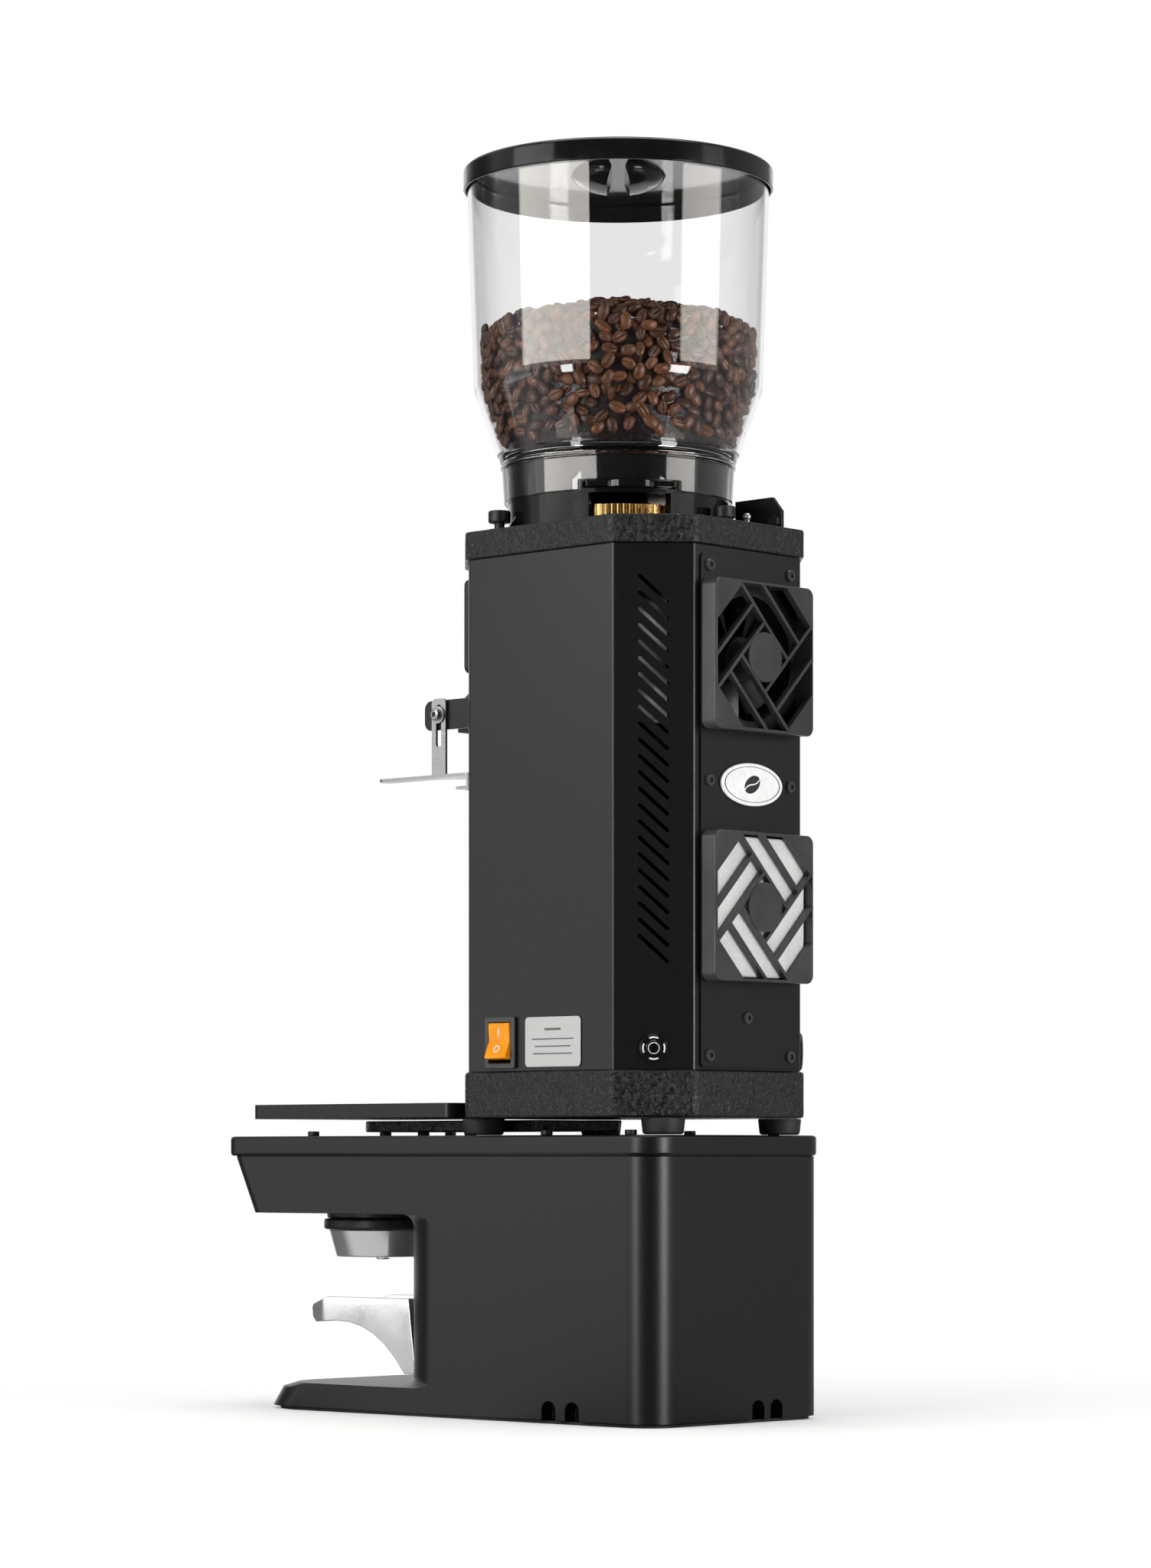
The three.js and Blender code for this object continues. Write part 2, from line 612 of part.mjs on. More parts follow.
function addMotorAndBurrs() {
  const motor = join(
    turned([[0, 226], [48, 226], [55, 233], [55, 388], [48, 396], [0, 396]], 24),
    cut(block(-60, 60, -20, 20, 384, 392), block(-55, 55, -15, 15, 386, 400)),
  );
  piece('grinder_motor', cut(motor, rod(8, 380, 400, 24)), FINISH.aluminium);
  const shaft = turned([
    [0, 381], [7, 381], [7, 434], [14, 434], [14, 438], [BURR_R + 1, 438],
    [BURR_R + 1, 446], [9, 446], [9, 452], [0, 452],
  ], 24);
  piece('motor_shaft', shaft, FINISH.steel);
  const groove = (z0, z1) => {
    const one = block(22, 42, -0.8, 0.8, z0, z1);
    return [...Array(8).keys()].map((i) => one.rotate([0, 0, i * 45]));
  };
  const lower = turned([[18, 446.3], [BURR_R, 446.3], [BURR_R, 454.5], [24, 451.5], [18, 448.5], [18, 446.3]], 24);
  piece('lower_burr', cut(lower, ...groove(452.8, 456)), FINISH.steel);
  const upper = turned([[22, 463], [22, 458.5], [25, 457.5], [BURR_R, 455], [BURR_R, 463], [22, 463]], 24);
  piece('upper_burr', cut(upper, ...groove(454, 456.6)), FINISH.steel);
  const chamber = turned([
    [9, 404], [CHAMBER_R, 404], [CHAMBER_R, 516], [CHAMBER_BORE, 516], [CHAMBER_BORE, 410], [9, 410], [9, 404],
  ], 32);
  const outlet = block(-12, 12, -60, -30, 413, 430);
  piece('burr_chamber', cut(chamber, outlet), FINISH.aluminium);
}

// Hollow chute from the burr chamber to the outlet over the portafilter.
function addSpout() {
  const outside = join(
    block(-15, 15, -100, -51, 410, 433),
    sidePrism(polygon([[-118, 408.8], [-118, 424], [-108, 433], [-86, 433], [-86, 408.8]]), -15, 15),
  );
  const inside = join(
    block(-13, 13, -104, -40, 412, 431),
    sidePrism(polygon([[-116, 390], [-116, 423], [-107, 431], [-88, 431], [-88, 390]]), -13, 13),
  );
  piece('spout', cut(outside, inside), FINISH.plasticBlack);
}

// ---------------------------------------------------------------- grind adjustment

function adjustmentGear() {
  const teeth = [];
  for (let i = 0; i < GEAR_TEETH; i += 1) {
    const turn = radians(i * 360 / GEAR_TEETH);
    const half = radians(180 / GEAR_TEETH);
    teeth.push([GEAR_R * Math.cos(turn), GEAR_R * Math.sin(turn)]);
    teeth.push([(GEAR_R - 1.8) * Math.cos(turn + half), (GEAR_R - 1.8) * Math.sin(turn + half)]);
  }
  const wheel = prism(polygon(teeth), GEAR_BOTTOM, GEAR_TOP);
  const barrel = rod(CHAMBER_BORE - 0.6, 463.3, GEAR_BOTTOM + LAP, 24);
  const bore = turned([[0, 460], [24, 460], [24, 470], [32, 476], [32, 540], [0, 540]], 24);
  return cut(join(wheel, barrel), bore);
}

function addAdjustment() {
  piece('adjustment_gear', adjustmentGear(), FINISH.brass);
  const shaft = join(barAlongY(3, -86, 66, 16), barAlongY(6, -15, 15, 24));
  piece('worm_shaft', shaft, FINISH.steel, [WORM_X, 0, WORM_Z]);
  const knob = cut(
    barAlongY(13, -104, -86.5 + GAP * 2, 24), barAlongY(3.4, -95, -80, 16),
  );
  piece('worm_knob', cut(knob, barAlongY(11, -105, -102.5, 24)), FINISH.plasticBlack, [WORM_X, 0, WORM_Z]);
  const hole = barAlongY(3.3, -LAP, 99, 16).translate([WORM_X, 0, WORM_Z]);
  const chamferedPlate = sidePrism(
    polygon([[43, 517], [79, 517], [79, 531], [72, 539.5], [43, 539.5]]), -57.4, -55,
  );
  const bracket = join(block(-68, -55, 43, 79, CAP_TOP + GAP, 519.4), chamferedPlate,
    block(-70, -55, 56, 65, 518, 531));
  piece('worm_bracket', cut(bracket, hole), FINISH.satinBlack);
  const bearing = join(block(-72, -54, -60, -50, CAP_TOP + GAP, 519.4), block(-69, -56.5, -58, -52, 518, 531));
  piece('worm_bearing', cut(bearing, hole.translate([0, -99, 0])), FINISH.satinBlack);
}

// ---------------------------------------------------------------- collar and hopper

const SCREW_SPOTS = { right: [63, -36], rear: [-12.6, 72], front: [-20, -70] };

// Moves a shape made along +X to lie at a turn about Z.
const turnedTo = (shape, degrees) => shape.rotate([0, 0, degrees]);

function collarLug([x, y]) {
  const reach = Math.hypot(x, y);
  const turn = Math.atan2(y, x) * 180 / Math.PI;
  const tab = join(
    block(COLLAR_R - 2, reach, -6, 6, CAP_TOP + GAP, CAP_TOP + 2.3),
    rod(6, CAP_TOP + GAP, CAP_TOP + 2.3, 12).translate([reach, 0, 0]),
  );
  const gusset = prism(polygon([[COLLAR_R - 1, 517], [reach - 3, 517], [COLLAR_R - 1, 526]]), -6, -4.5)
    .rotate([90, 0, 0]);
  return turnedTo(cut(join(tab, gusset), rod(3.4, 510, 520, 12).translate([reach, 0, 0])), turn);
}

function collar() {
  const ring = tube(COLLAR_BORE, COLLAR_R, CAP_TOP + GAP, COLLAR_TOP, 40);
  const deck = rod(COLLAR_BORE + LAP, 535.5, 544.5, 40);
  const window = turnedTo(
    prism(polygon([[40, -17], [75, -29], [75, 29], [40, 17]]), CAP_TOP - LAP, 534.6), COLLAR_TURN,
  );
  const gateSlot = turnedTo(block(-32, 75, -27, 27, GATE_Z - 0.4, GATE_Z + GATE_THICK + 0.4), COLLAR_TURN);
  const wormSlot = block(-75, -50, -29, 29, CAP_TOP - LAP, 533);
  const lugs = Object.values(SCREW_SPOTS).map(collarLug);
  return cut(join(ring, deck, ...lugs), rod(THROAT_R, 530, 550, 32), window, gateSlot, wormSlot);
}

function hopperGate() {
  const blade = block(-26, 58, -26, 26, GATE_Z, GATE_Z + GATE_THICK);
  const tab = prism(softRectangle(58, 72, -14, 14, [1, 9, 9, 1]), GATE_Z - 0.5, GATE_Z + GATE_THICK, 4);
  const outline = softRectangle(-28, 66.5, -26, 26, [24, 1, 1, 24]);
  return turnedTo(join(prism(outline, GATE_Z, GATE_Z + GATE_THICK, 6), tab.intersect(
    block(66, 80, -20, 20, 500, 600)), blade.intersect(block(0, 60, -26, 26, 500, 600))), COLLAR_TURN);
}

function hopper() {
  const bottom = COLLAR_TOP + 0.4;
  const floor = bottom + HOPPER_WALL;
  const bowl = turned([
    [COLLAR_R + 0.6, NECK_BOTTOM], [NECK_R, NECK_BOTTOM], [NECK_R, bottom - 0.5],
    [HOPPER_WAIST.r, HOPPER_WAIST.z], [HOPPER_KNEE.r, HOPPER_KNEE.z], [HOPPER_RIM.r, HOPPER_RIM.z],
    [HOPPER_RIM.r - HOPPER_WALL, HOPPER_RIM.z], [HOPPER_KNEE.r - HOPPER_WALL, HOPPER_KNEE.z + 0.5],
    [HOPPER_WAIST.r - HOPPER_WALL, floor + 1.5], [HOPPER_WAIST.r - 5, floor],
    [THROAT_R + 2, floor - 0.8], [THROAT_R + 2, bottom], [COLLAR_R + 0.6, bottom], [COLLAR_R + 0.6, NECK_BOTTOM],
  ], 40);
  const notch = turnedTo(block(55, 80, -30, 30, NECK_BOTTOM - LAP, GATE_Z + GATE_THICK + 1.5), COLLAR_TURN);
  return cut(bowl, notch);
}

function beanFill() {
  const slack = HOPPER_WALL + 0.5;
  return turned([
    [0, 562], [HOPPER_WAIST.r - 6, 562], [HOPPER_WAIST.r - slack, 564.5],
    [HOPPER_KNEE.r - slack, HOPPER_KNEE.z + 0.6], [HOPPER_KNEE.r - slack + 1, BEAN_LEVEL],
    [60, BEAN_LEVEL + 5], [0, BEAN_LEVEL + 6],
  ], 40);
}

// Lid with a skirt outside the hopper rim and two half-round finger wells beside a grip bar.
function lid() {
  const deck = LID_TOP - 4;
  const cover = turned([
    [0, deck], [HOPPER_RIM.r + 0.7, deck], [HOPPER_RIM.r + 0.4, LID_BOTTOM], [LID_R - 0.3, LID_BOTTOM],
    [LID_R, LID_BOTTOM + 1], [LID_R, LID_TOP - 2.5], [LID_R - 2, LID_TOP - 0.6], [LID_R - 5, LID_TOP], [0, LID_TOP],
  ], 40);
  const well = (grow, base) => turned([
    [0, base], [8 + grow, base + 0.4], [16 + grow, base + 3], [22 + grow, base + 6.2],
    [27 + grow, LID_TOP + 1 - grow], [0, LID_TOP + 1 - grow],
  ], 24);
  const bar = (width) => block(-40, 40, -width / 2, width / 2, 700, 745);
  const lobes = cut(well(2, LID_TOP - 12), bar(8));
  const wells = cut(well(0, LID_TOP - 10), bar(12));
  return turnedTo(cut(join(cover, lobes.intersect(rod(40, 700, deck + 1, 8))), wells), GRIP_TURN);
}

function addThumbscrews() {
  const screw = turned([
    [0, CAP_TOP + GAP], [3, CAP_TOP + GAP], [3, 522.6], [6, 522.6], [6.5, 523.2],
    [6.5, 528.8], [6, 529.5], [0, 529.5],
  ], 18);
  for (const [spot, [x, y]] of Object.entries(SCREW_SPOTS)) {
    piece(`thumbscrew_${spot}`, screw, FINISH.plasticBlack, [x, y, 0]);
  }
}

function addHopper() {
  piece('collar', collar(), FINISH.glossBlack);
  piece('hopper_gate', hopperGate(), FINISH.plasticBlack);
  piece('hopper', hopper(), FINISH.clear);
  piece('bean_fill', beanFill(), FINISH.beans);
  piece('lid', lid(), FINISH.glossBlack);
  addThumbscrews();
}

// ---------------------------------------------------------------- portafilter fork and controls

function forkBracket() {
  const front = -123;
  const wall = FRONT_Y - GAP;
  const arm = sidePrism(softRectangle(front, wall, ARM_BOTTOM, ARM_TOP, [5, 0.5, 0.5, 5]), ARM_X,
    ARM_X + ARM_PLATE, 3);
  const back = cut(
    block(-ARM_X - ARM_PLATE, ARM_X + ARM_PLATE, wall - ARM_PLATE, wall, 394, ARM_TOP),
    block(-18, 18, wall - 5, wall + 5, 405, ARM_TOP + LAP),
  );
  const hole = barAlongX(2.3, 30, 45, 16).translate([0, STRIP_Y, 417.3]);
  const right = cut(arm, hole);
  return join(back, right, right.mirror([1, 0, 0]));
}

// Bent sheet: two tines under the portafilter and a slotted strip up each side.
function portafilterFork() {
  const inner = ARM_X + ARM_PLATE + GAP;
  const outer = inner + 1.6;
  const sheet = 1.8;
  const plan = prism(softRectangle(-outer, outer, FORK_FRONT, -86, [6, 6, 1, 1]), FORK_Z, FORK_Z + sheet, 3);
  const mouth = prism(softRectangle(-29, 29, FORK_FRONT - 20, -100, [1, 1, 28, 28]), FORK_Z - 5, FORK_Z + 5, 6);
  const apron = block(-outer, outer, -86, -84.4, FORK_Z - 9, FORK_Z + sheet);
  const strip = sidePrism(
    softRectangle(STRIP_Y - STRIP_WIDTH / 2, STRIP_Y + STRIP_WIDTH / 2, FORK_Z, 427, [0.5, 0.5, 3, 3]),
    inner, outer, 3,
  );
  const slot = sidePrism(
    softRectangle(STRIP_Y - 2.2, STRIP_Y + 2.2, 398, 423.5, 2.1), inner - LAP, outer + LAP, 3,
  );
  const side = cut(strip, slot);
  return join(cut(plan, mouth), apron, side, side.mirror([1, 0, 0]));
}

function addFork() {
  piece('fork_bracket', forkBracket(), FINISH.satinBlack);
  piece('portafilter_fork', portafilterFork(), FINISH.stainless);
  const face = ARM_X + ARM_PLATE + 2 * GAP + 1.6;
  const screw = turned([
    [0, ARM_X - 3], [1.9, ARM_X - 3], [1.9, face], [5.2, face], [5.2, face + 1],
    [3.4, face + 1], [3.4, face + 4], [0, face + 4],
  ], 14).rotate([0, 90, 0]);
  piece('fork_screw_right', screw, FINISH.steel, [0, STRIP_Y, 417.3]);
  piece('fork_screw_left', screw.mirror([1, 0, 0]), FINISH.steel, [0, STRIP_Y, 417.3]);
}

function addControls() {
  const wall = FRONT_Y - GAP;
  const panel = prism(softRectangle(-45, 45, 440, 495.6, 4), 0, 4.5, 3).rotate([90, 0, 0])
    .translate([0, wall, 0]);
  const buttonZ = 451;
  const spots = { single: -22, double: 22 };
  const seat = (x, radius) => barAlongY(radius, wall - 10, wall - 1.5, 24).translate([x, 0, buttonZ]);
  piece('control_panel', cut(panel, seat(spots.single, 7), seat(spots.double, 7)), FINISH.glossBlack);
  for (const [dose, x] of Object.entries(spots)) {
    piece(`${dose}_dose_button`, barAlongY(6.6, -6, -3.4, 24), FINISH.steel, [x, wall, buttonZ]);
  }
}

addTamper();
addFeet();
addGrinderBody();
addFans();
addSideFittings();
addCornerFittings();
addMotorAndBurrs();
addSpout();
addAdjustment();
addHopper();
addFork();
addControls();

export default model;
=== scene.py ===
"""Burr coffee grinder on its automatic tamper: the looks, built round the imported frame.

Sizes are in millimetres and meshes go to metres as they are made. +Z is up and the front faces -Y.
"""
import itertools
import math
import random

import bmesh
import bpy
from mathutils import Matrix, Vector


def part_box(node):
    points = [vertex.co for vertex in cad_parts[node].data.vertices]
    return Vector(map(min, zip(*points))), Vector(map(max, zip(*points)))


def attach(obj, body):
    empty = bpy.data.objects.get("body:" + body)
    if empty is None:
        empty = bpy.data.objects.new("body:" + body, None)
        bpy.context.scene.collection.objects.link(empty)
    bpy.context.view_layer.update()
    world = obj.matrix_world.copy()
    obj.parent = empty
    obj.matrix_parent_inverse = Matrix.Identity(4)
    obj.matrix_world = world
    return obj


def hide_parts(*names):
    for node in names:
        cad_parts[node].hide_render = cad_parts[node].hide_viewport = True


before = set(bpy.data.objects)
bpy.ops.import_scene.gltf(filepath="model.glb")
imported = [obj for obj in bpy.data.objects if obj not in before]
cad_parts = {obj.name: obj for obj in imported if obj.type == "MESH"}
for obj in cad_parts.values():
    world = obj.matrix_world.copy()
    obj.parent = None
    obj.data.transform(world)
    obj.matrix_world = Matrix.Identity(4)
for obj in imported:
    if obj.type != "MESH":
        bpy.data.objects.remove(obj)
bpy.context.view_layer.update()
MM = 0.001
scene = bpy.context.scene


def span(node):
    """Lowest and highest corners of a CAD node, in millimetres."""
    low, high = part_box(node)
    return [v / MM for v in low], [v / MM for v in high]


def centre(node):
    return [(a + b) / 2 for a, b in zip(*span(node))]


# ---------------- sizes, mostly read from the frame
BODY_LOW, BODY_HIGH = span("tamper_body")
HOUSING_LOW, HOUSING_HIGH = span("housing")
CAP_LOW, CAP_HIGH = span("top_cap")
PANEL_LOW, PANEL_HIGH = span("back_panel")
HOPPER_LOW, HOPPER_HIGH = span("hopper")
COLLAR_LOW, COLLAR_HIGH = span("collar")
PLATE_TOP = span("tamper_top_plate")[1][2]
BEAN_TOP = span("bean_fill")[1][2]
LID_TOP = span("lid")[1][2]

HALF_X = HOUSING_HIGH[0]
BACK_Y = HOUSING_HIGH[1]
FRONT_Y = HOUSING_LOW[1]
CHAMFER = 32.6
OVERHANG = CAP_HIGH[0] - HALF_X
CORNER_X = HALF_X - CHAMFER / 2
CORNER_Y = BACK_Y - CHAMFER / 2
FITTING_Z = 214.5
FAN_Z = {level: centre(f"{level}_fan_guard")[2] for level in ("upper", "lower")}
COLLAR_TURN = 49
GRIP_TURN = 43
CAMERA_AZIMUTH = 43.25
TOWARD_CAMERA = (math.cos(math.radians(CAMERA_AZIMUTH)), math.sin(math.radians(CAMERA_AZIMUTH)), 0)
CAMERA_RIGHT = (-TOWARD_CAMERA[1], TOWARD_CAMERA[0], 0)


# ---------------- meshes
def shown(name, data):
    piece = bpy.data.objects.new(name, data)
    scene.collection.objects.link(piece)
    return piece


def mesh_piece(name, verts, faces):
    mesh = bpy.data.meshes.new(name)
    mesh.from_pydata([(x * MM, y * MM, z * MM) for x, y, z in verts], [], faces)
    work = bmesh.new()
    work.from_mesh(mesh)
    bmesh.ops.recalc_face_normals(work, faces=work.faces)
    work.to_mesh(mesh)
    work.free()
    return shown(name, mesh)


def lathe(name, profile, steps=96):
    """Turns (radius, height) corners about Z. The profile starts and ends on the axis, or closes up."""
    verts = []
    rings = []
    for radius, height in profile:
        count = 1 if radius == 0 else steps
        rings.append(range(len(verts), len(verts) + count))
        for i in range(count):
            turn = 2 * math.pi * i / steps
            verts.append((radius * math.cos(turn), radius * math.sin(turn), height))
    pairs = list(zip(rings, rings[1:]))
    if profile[0][0] > 0:
        pairs.append((rings[-1], rings[0]))
    faces = []
    for low, high in pairs:
        for i in range(steps):
            j = (i + 1) % steps
            if len(low) == 1 and len(high) > 1:
                faces.append((low[0], high[j], high[i]))
            elif len(high) == 1 and len(low) > 1:
                faces.append((low[i], low[j], high[0]))
            elif len(low) > 1:
                faces.append((low[i], low[j], high[j], high[i]))
    return mesh_piece(name, verts, faces)


def skin(name, rings):
    """Joins rings of equal length, and closes the first and the last with a face."""
    count = len(rings[0])
    last = (len(rings) - 1) * count
    faces = [tuple(range(count)), tuple(range(last, last + count))]
    for a in range(0, last, count):
        for i in range(count):
            j = (i + 1) % count
            faces.append((a + i, a + j, a + j + count, a + i + count))
    return mesh_piece(name, [spot for ring in rings for spot in ring], faces)


def loft(name, sections):
    """Joins (outline, height) sections that all have the same number of points."""
    return skin(name, [[(x, y, z) for x, y in outline] for outline, z in sections])


def prism(name, outline, bottom, top):
    return loft(name, [(outline, bottom), (outline, top)])


def pointed_rings(first, rings, last):
    """Verts and faces of a skin over rings of equal length, closed to a point at each end."""
    count = len(rings[0])
    verts = [first, *(spot for ring in rings for spot in ring), last]
    faces = []
    for i in range(count):
        j = (i + 1) % count
        faces.append((0, 1 + j, 1 + i))
        for k in range(len(rings) - 1):
            a, b = 1 + k * count, 1 + (k + 1) * count
            faces.append((a + i, a + j, b + j, b + i))
        a = 1 + (len(rings) - 1) * count
        faces.append((a + i, a + j, len(verts) - 1))
    return verts, faces


def block(name, low, high):
    outline = [(low[0], low[1]), (high[0], low[1]), (high[0], high[1]), (low[0], high[1])]
    return prism(name, outline, low[2], high[2])


def rod(name, radius, bottom, top, steps=48):
    return lathe(name, [(0, bottom), (radius, bottom), (radius, top), (0, top)], steps)


def round_button(name, radius, bottom, top, rim, steps=64):
    profile = [(0, bottom), (radius - rim, bottom)]
    profile += arc(radius - rim, bottom + rim, rim, -90, 0, 4)
    profile += arc(radius - rim, top - rim, rim, 0, 90, 4)
    return lathe(name, profile + [(0, top)], steps)


def moved(piece, place=(0, 0, 0), turn=(0, 0, 0), scale=(1, 1, 1)):
    """Turns a piece by degrees about X, then Y, then Z, and then shifts it by millimetres, in its mesh."""
    matrix = Matrix.Diagonal((*scale, 1))
    for angle, axis in zip(turn, "XYZ"):
        matrix = Matrix.Rotation(math.radians(angle), 4, axis) @ matrix
    piece.data.transform(Matrix.Translation(Vector(place) * MM) @ matrix)
    if matrix.determinant() < 0:
        piece.data.flip_normals()
    return piece


def turned(piece, *degrees):
    return moved(piece, (0, 0, 0), degrees)


def drop(piece):
    bpy.data.objects.remove(piece, do_unlink=True)


def joined(name, pieces):
    work = bmesh.new()
    for piece in pieces:
        work.from_mesh(piece.data)
    mesh = bpy.data.meshes.new(name)
    work.to_mesh(mesh)
    work.free()
    for piece in pieces:
        drop(piece)
    return shown(name, mesh)


def settle(piece):
    """Applies every modifier of a piece."""
    view = bpy.context.evaluated_depsgraph_get()
    mesh = bpy.data.meshes.new_from_object(piece.evaluated_get(view))
    piece.modifiers.clear()
    piece.data = mesh
    return piece


def combine(piece, operation, *others):
    for other in others:
        step = piece.modifiers.new("combine", "BOOLEAN")
        step.operation = operation
        step.solver = "MANIFOLD"
        step.object = other
        settle(piece)
        drop(other)
    return piece


def cut(piece, *cutters):
    return combine(piece, "DIFFERENCE", *cutters)


def fuse(piece, *others):
    return combine(piece, "UNION", *others)


def tidy_mesh(piece):
    work = bmesh.new()
    work.from_mesh(piece.data)
    bmesh.ops.remove_doubles(work, verts=work.verts, dist=2e-6)
    bmesh.ops.dissolve_limit(work, angle_limit=math.radians(0.6), verts=work.verts, edges=work.edges)
    work.to_mesh(piece.data)
    work.free()
    return piece


def smooth(piece, sharp=38):
    """Smooth shading that keeps edges over the given angle, with flat faces kept flat."""
    piece.data.polygons.foreach_set("use_smooth", [True] * len(piece.data.polygons))
    piece.data.set_sharp_from_angle(angle=math.radians(sharp))
    step = piece.modifiers.new("weights", "WEIGHTED_NORMAL")
    step.keep_sharp = True
    step.weight = 80
    return settle(piece)


def soften(piece, width, segments=3, angle=32, sharp=38):
    """Rounds the edges over an angle, and shades the result smooth."""
    tidy_mesh(piece)
    step = piece.modifiers.new("bevel", "BEVEL")
    step.width = width * MM
    step.segments = segments
    step.limit_method = "ANGLE"
    step.angle_limit = math.radians(angle)
    settle(piece)
    return smooth(piece, sharp)


def place(piece, material, body, slot, *nodes):
    piece.data.materials.clear()
    piece.data.materials.append(material)
    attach(piece, body)
    if nodes:
        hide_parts(*nodes)
    return piece


def place_cad(node, material, body, slot, *softness):
    """Places a new piece that has the mesh of a CAD node, with soft edges."""
    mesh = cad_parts[node].data.copy()
    mesh.materials.clear()
    place(soften(shown(f"{node}_look", mesh), *softness), material, body, slot, node)


# ---------------- outlines
def arc(x, y, radius, start, end, steps):
    angles = [math.radians(start + (end - start) * i / steps) for i in range(steps + 1)]
    return [(x + radius * math.cos(a), y + radius * math.sin(a)) for a in angles]


def soft_rectangle(x0, x1, y0, y1, radii, steps=10):
    """Corners in order: low x low y, high x low y, high x high y, low x high y."""
    a, b, c, d = radii if isinstance(radii, (list, tuple)) else [radii] * 4
    outline = []
    corners = ((x1, y0, b, -1, 1, -90), (x1, y1, c, -1, -1, 0), (x0, y1, d, 1, -1, 90),
               (x0, y0, a, 1, 1, 180))
    for x, y, radius, inward_x, inward_y, start in corners:
        if radius == 0:
            outline.append((x, y))
        else:
            outline += arc(x + inward_x * radius, y + inward_y * radius, radius, start, start + 90, steps)
    return outline


def octagon(margin, radius=0.0, steps=4):
    """The grinder's plan, grown by a margin, with its eight corners rounded."""
    leg = CHAMFER + margin * (2 - math.sqrt(2))
    x, back, front = HALF_X + margin, BACK_Y + margin, FRONT_Y - margin
    corners = [(x - leg, front), (x, front + leg), (x, back - leg), (x - leg, back),
               (leg - x, back), (-x, back - leg), (-x, front + leg), (leg - x, front)]
    if radius == 0:
        return corners
    outline = []
    for i, corner in enumerate(corners):
        here = Vector(corner)
        before = (Vector(corners[i - 1]) - here).normalized()
        after = (Vector(corners[(i + 1) % 8]) - here).normalized()
        inward = (before + after).normalized()
        middle = here + inward * (radius / math.sin(before.angle(after) / 2))
        start = (here + before * radius * math.tan(math.radians(22.5)) - middle)
        first = math.degrees(math.atan2(start.y, start.x))
        outline += arc(middle.x, middle.y, radius, first, first + 45, steps)
    return outline


# ---------------- materials
def grey(tone):
    return (tone, tone, tone)


def add_node(tree, kind, inputs, operation=None):
    """A new shader node. Each input gets a number, or is linked to the output given for it."""
    node = tree.nodes.new(f"ShaderNode{kind}")
    if operation:
        node.operation = operation
    for key, value in inputs.items():
        if isinstance(value, bpy.types.NodeSocket):
            tree.links.new(value, node.inputs[key])
        else:
            node.inputs[key].default_value = value
    return node


def math_node(tree, operation, *sources):
    return add_node(tree, "Math", dict(enumerate(sources)), operation).outputs["Value"]


def map_range(tree, source, start, end, low, high, curve="LINEAR"):
    inputs = {"Value": source, "From Min": start, "From Max": end, "To Min": low, "To Max": high}
    node = add_node(tree, "MapRange", inputs)
    node.interpolation_type = curve
    return node.outputs["Result"]


class Look:
    """A Principled material with a few short-hands for its nodes."""

    def __init__(self, name, color, roughness, metallic=0.0, **values):
        self.material = bpy.data.materials.new(name)
        self.material.use_nodes = True
        self.tree = self.material.node_tree
        self.shader = self.tree.nodes["Principled BSDF"]
        values |= {"Base_Color": (*color, 1), "Roughness": roughness, "Metallic": metallic}
        for socket, value in values.items():
            self.shader.inputs[socket.replace("_", " ")].default_value = value
        self.place = self.tree.nodes.new("ShaderNodeTexCoord").outputs["Object"]

    def link(self, source, target):
        self.tree.links.new(source, target)

    def shown_by(self, shader):
        self.link(shader, self.tree.nodes["Material Output"].inputs["Surface"])

    def mixed(self, share, first, second):
        return add_node(self.tree, "MixShader", {"Fac": share, 1: first, 2: second}).outputs["Shader"]

    def stretched(self, scale):
        return add_node(self.tree, "Mapping", {"Scale": scale, "Vector": self.place}).outputs["Vector"]

    def noise(self, scale, detail=3.0, roughness=0.55, distortion=0.0, where=None):
        inputs = {"Scale": scale, "Detail": detail, "Roughness": roughness, "Distortion": distortion}
        return add_node(self.tree, "TexNoise", inputs | {"Vector": where or self.place}).outputs["Fac"]

    def tones(self, source, dark, light, start=0.3, end=0.7):
        node = add_node(self.tree, "ValToRGB", {"Fac": source})
        for element, position, color in zip(node.color_ramp.elements, (start, end), (dark, light)):
            element.position = position
            element.color = (*color, 1)
        self.link(node.outputs["Color"], self.shader.inputs["Base Color"])
        return node.outputs["Color"]

    def rough(self, source, low, high):
        self.link(map_range(self.tree, source, 0.3, 0.7, low, high), self.shader.inputs["Roughness"])

    def added(self, first, second, share):
        return math_node(self.tree, "MULTIPLY_ADD", second, share, first)

    def bump(self, height, depth):
        """Depth is the height in millimetres that the source's 0 to 1 stands for."""
        node = add_node(self.tree, "Bump", {"Strength": 1.0, "Distance": depth * MM, "Height": height})
        self.link(node.outputs["Normal"], self.shader.inputs["Normal"])


def finish(name, dark, light, rough, tint, sheen, grain, depth, color=None, metallic=0.0, ramp=(0.3, 0.7)):
    """The usual material: noise in its tone and its roughness, and a fine grain in its surface."""
    look = Look(name, color or light, rough[0], metallic)
    look.tones(look.noise(*tint), dark, light, *ramp)
    look.rough(look.noise(*sheen), *rough)
    look.bump(look.noise(*grain), depth)
    return look.material


def powder_coat(name, dark, light, low, high, grain=1400, depth=0.02):
    return finish(name, dark, light, (low, high), (220, 4), (340, 4), (grain, 2), depth)


def gloss_plastic(name, tone):
    return finish(name, grey(tone * 0.8), grey(tone * 1.2), (0.06, 0.14), (90, 2), (45, 5, 0.7), (22, 2),
                  0.03, grey(tone))


def matt_plastic(name, tone, low, high):
    return finish(name, grey(tone * 0.75), grey(tone * 1.25), (low, high), (30, 3), (220, 3), (1900, 2),
                  0.03, grey(tone))


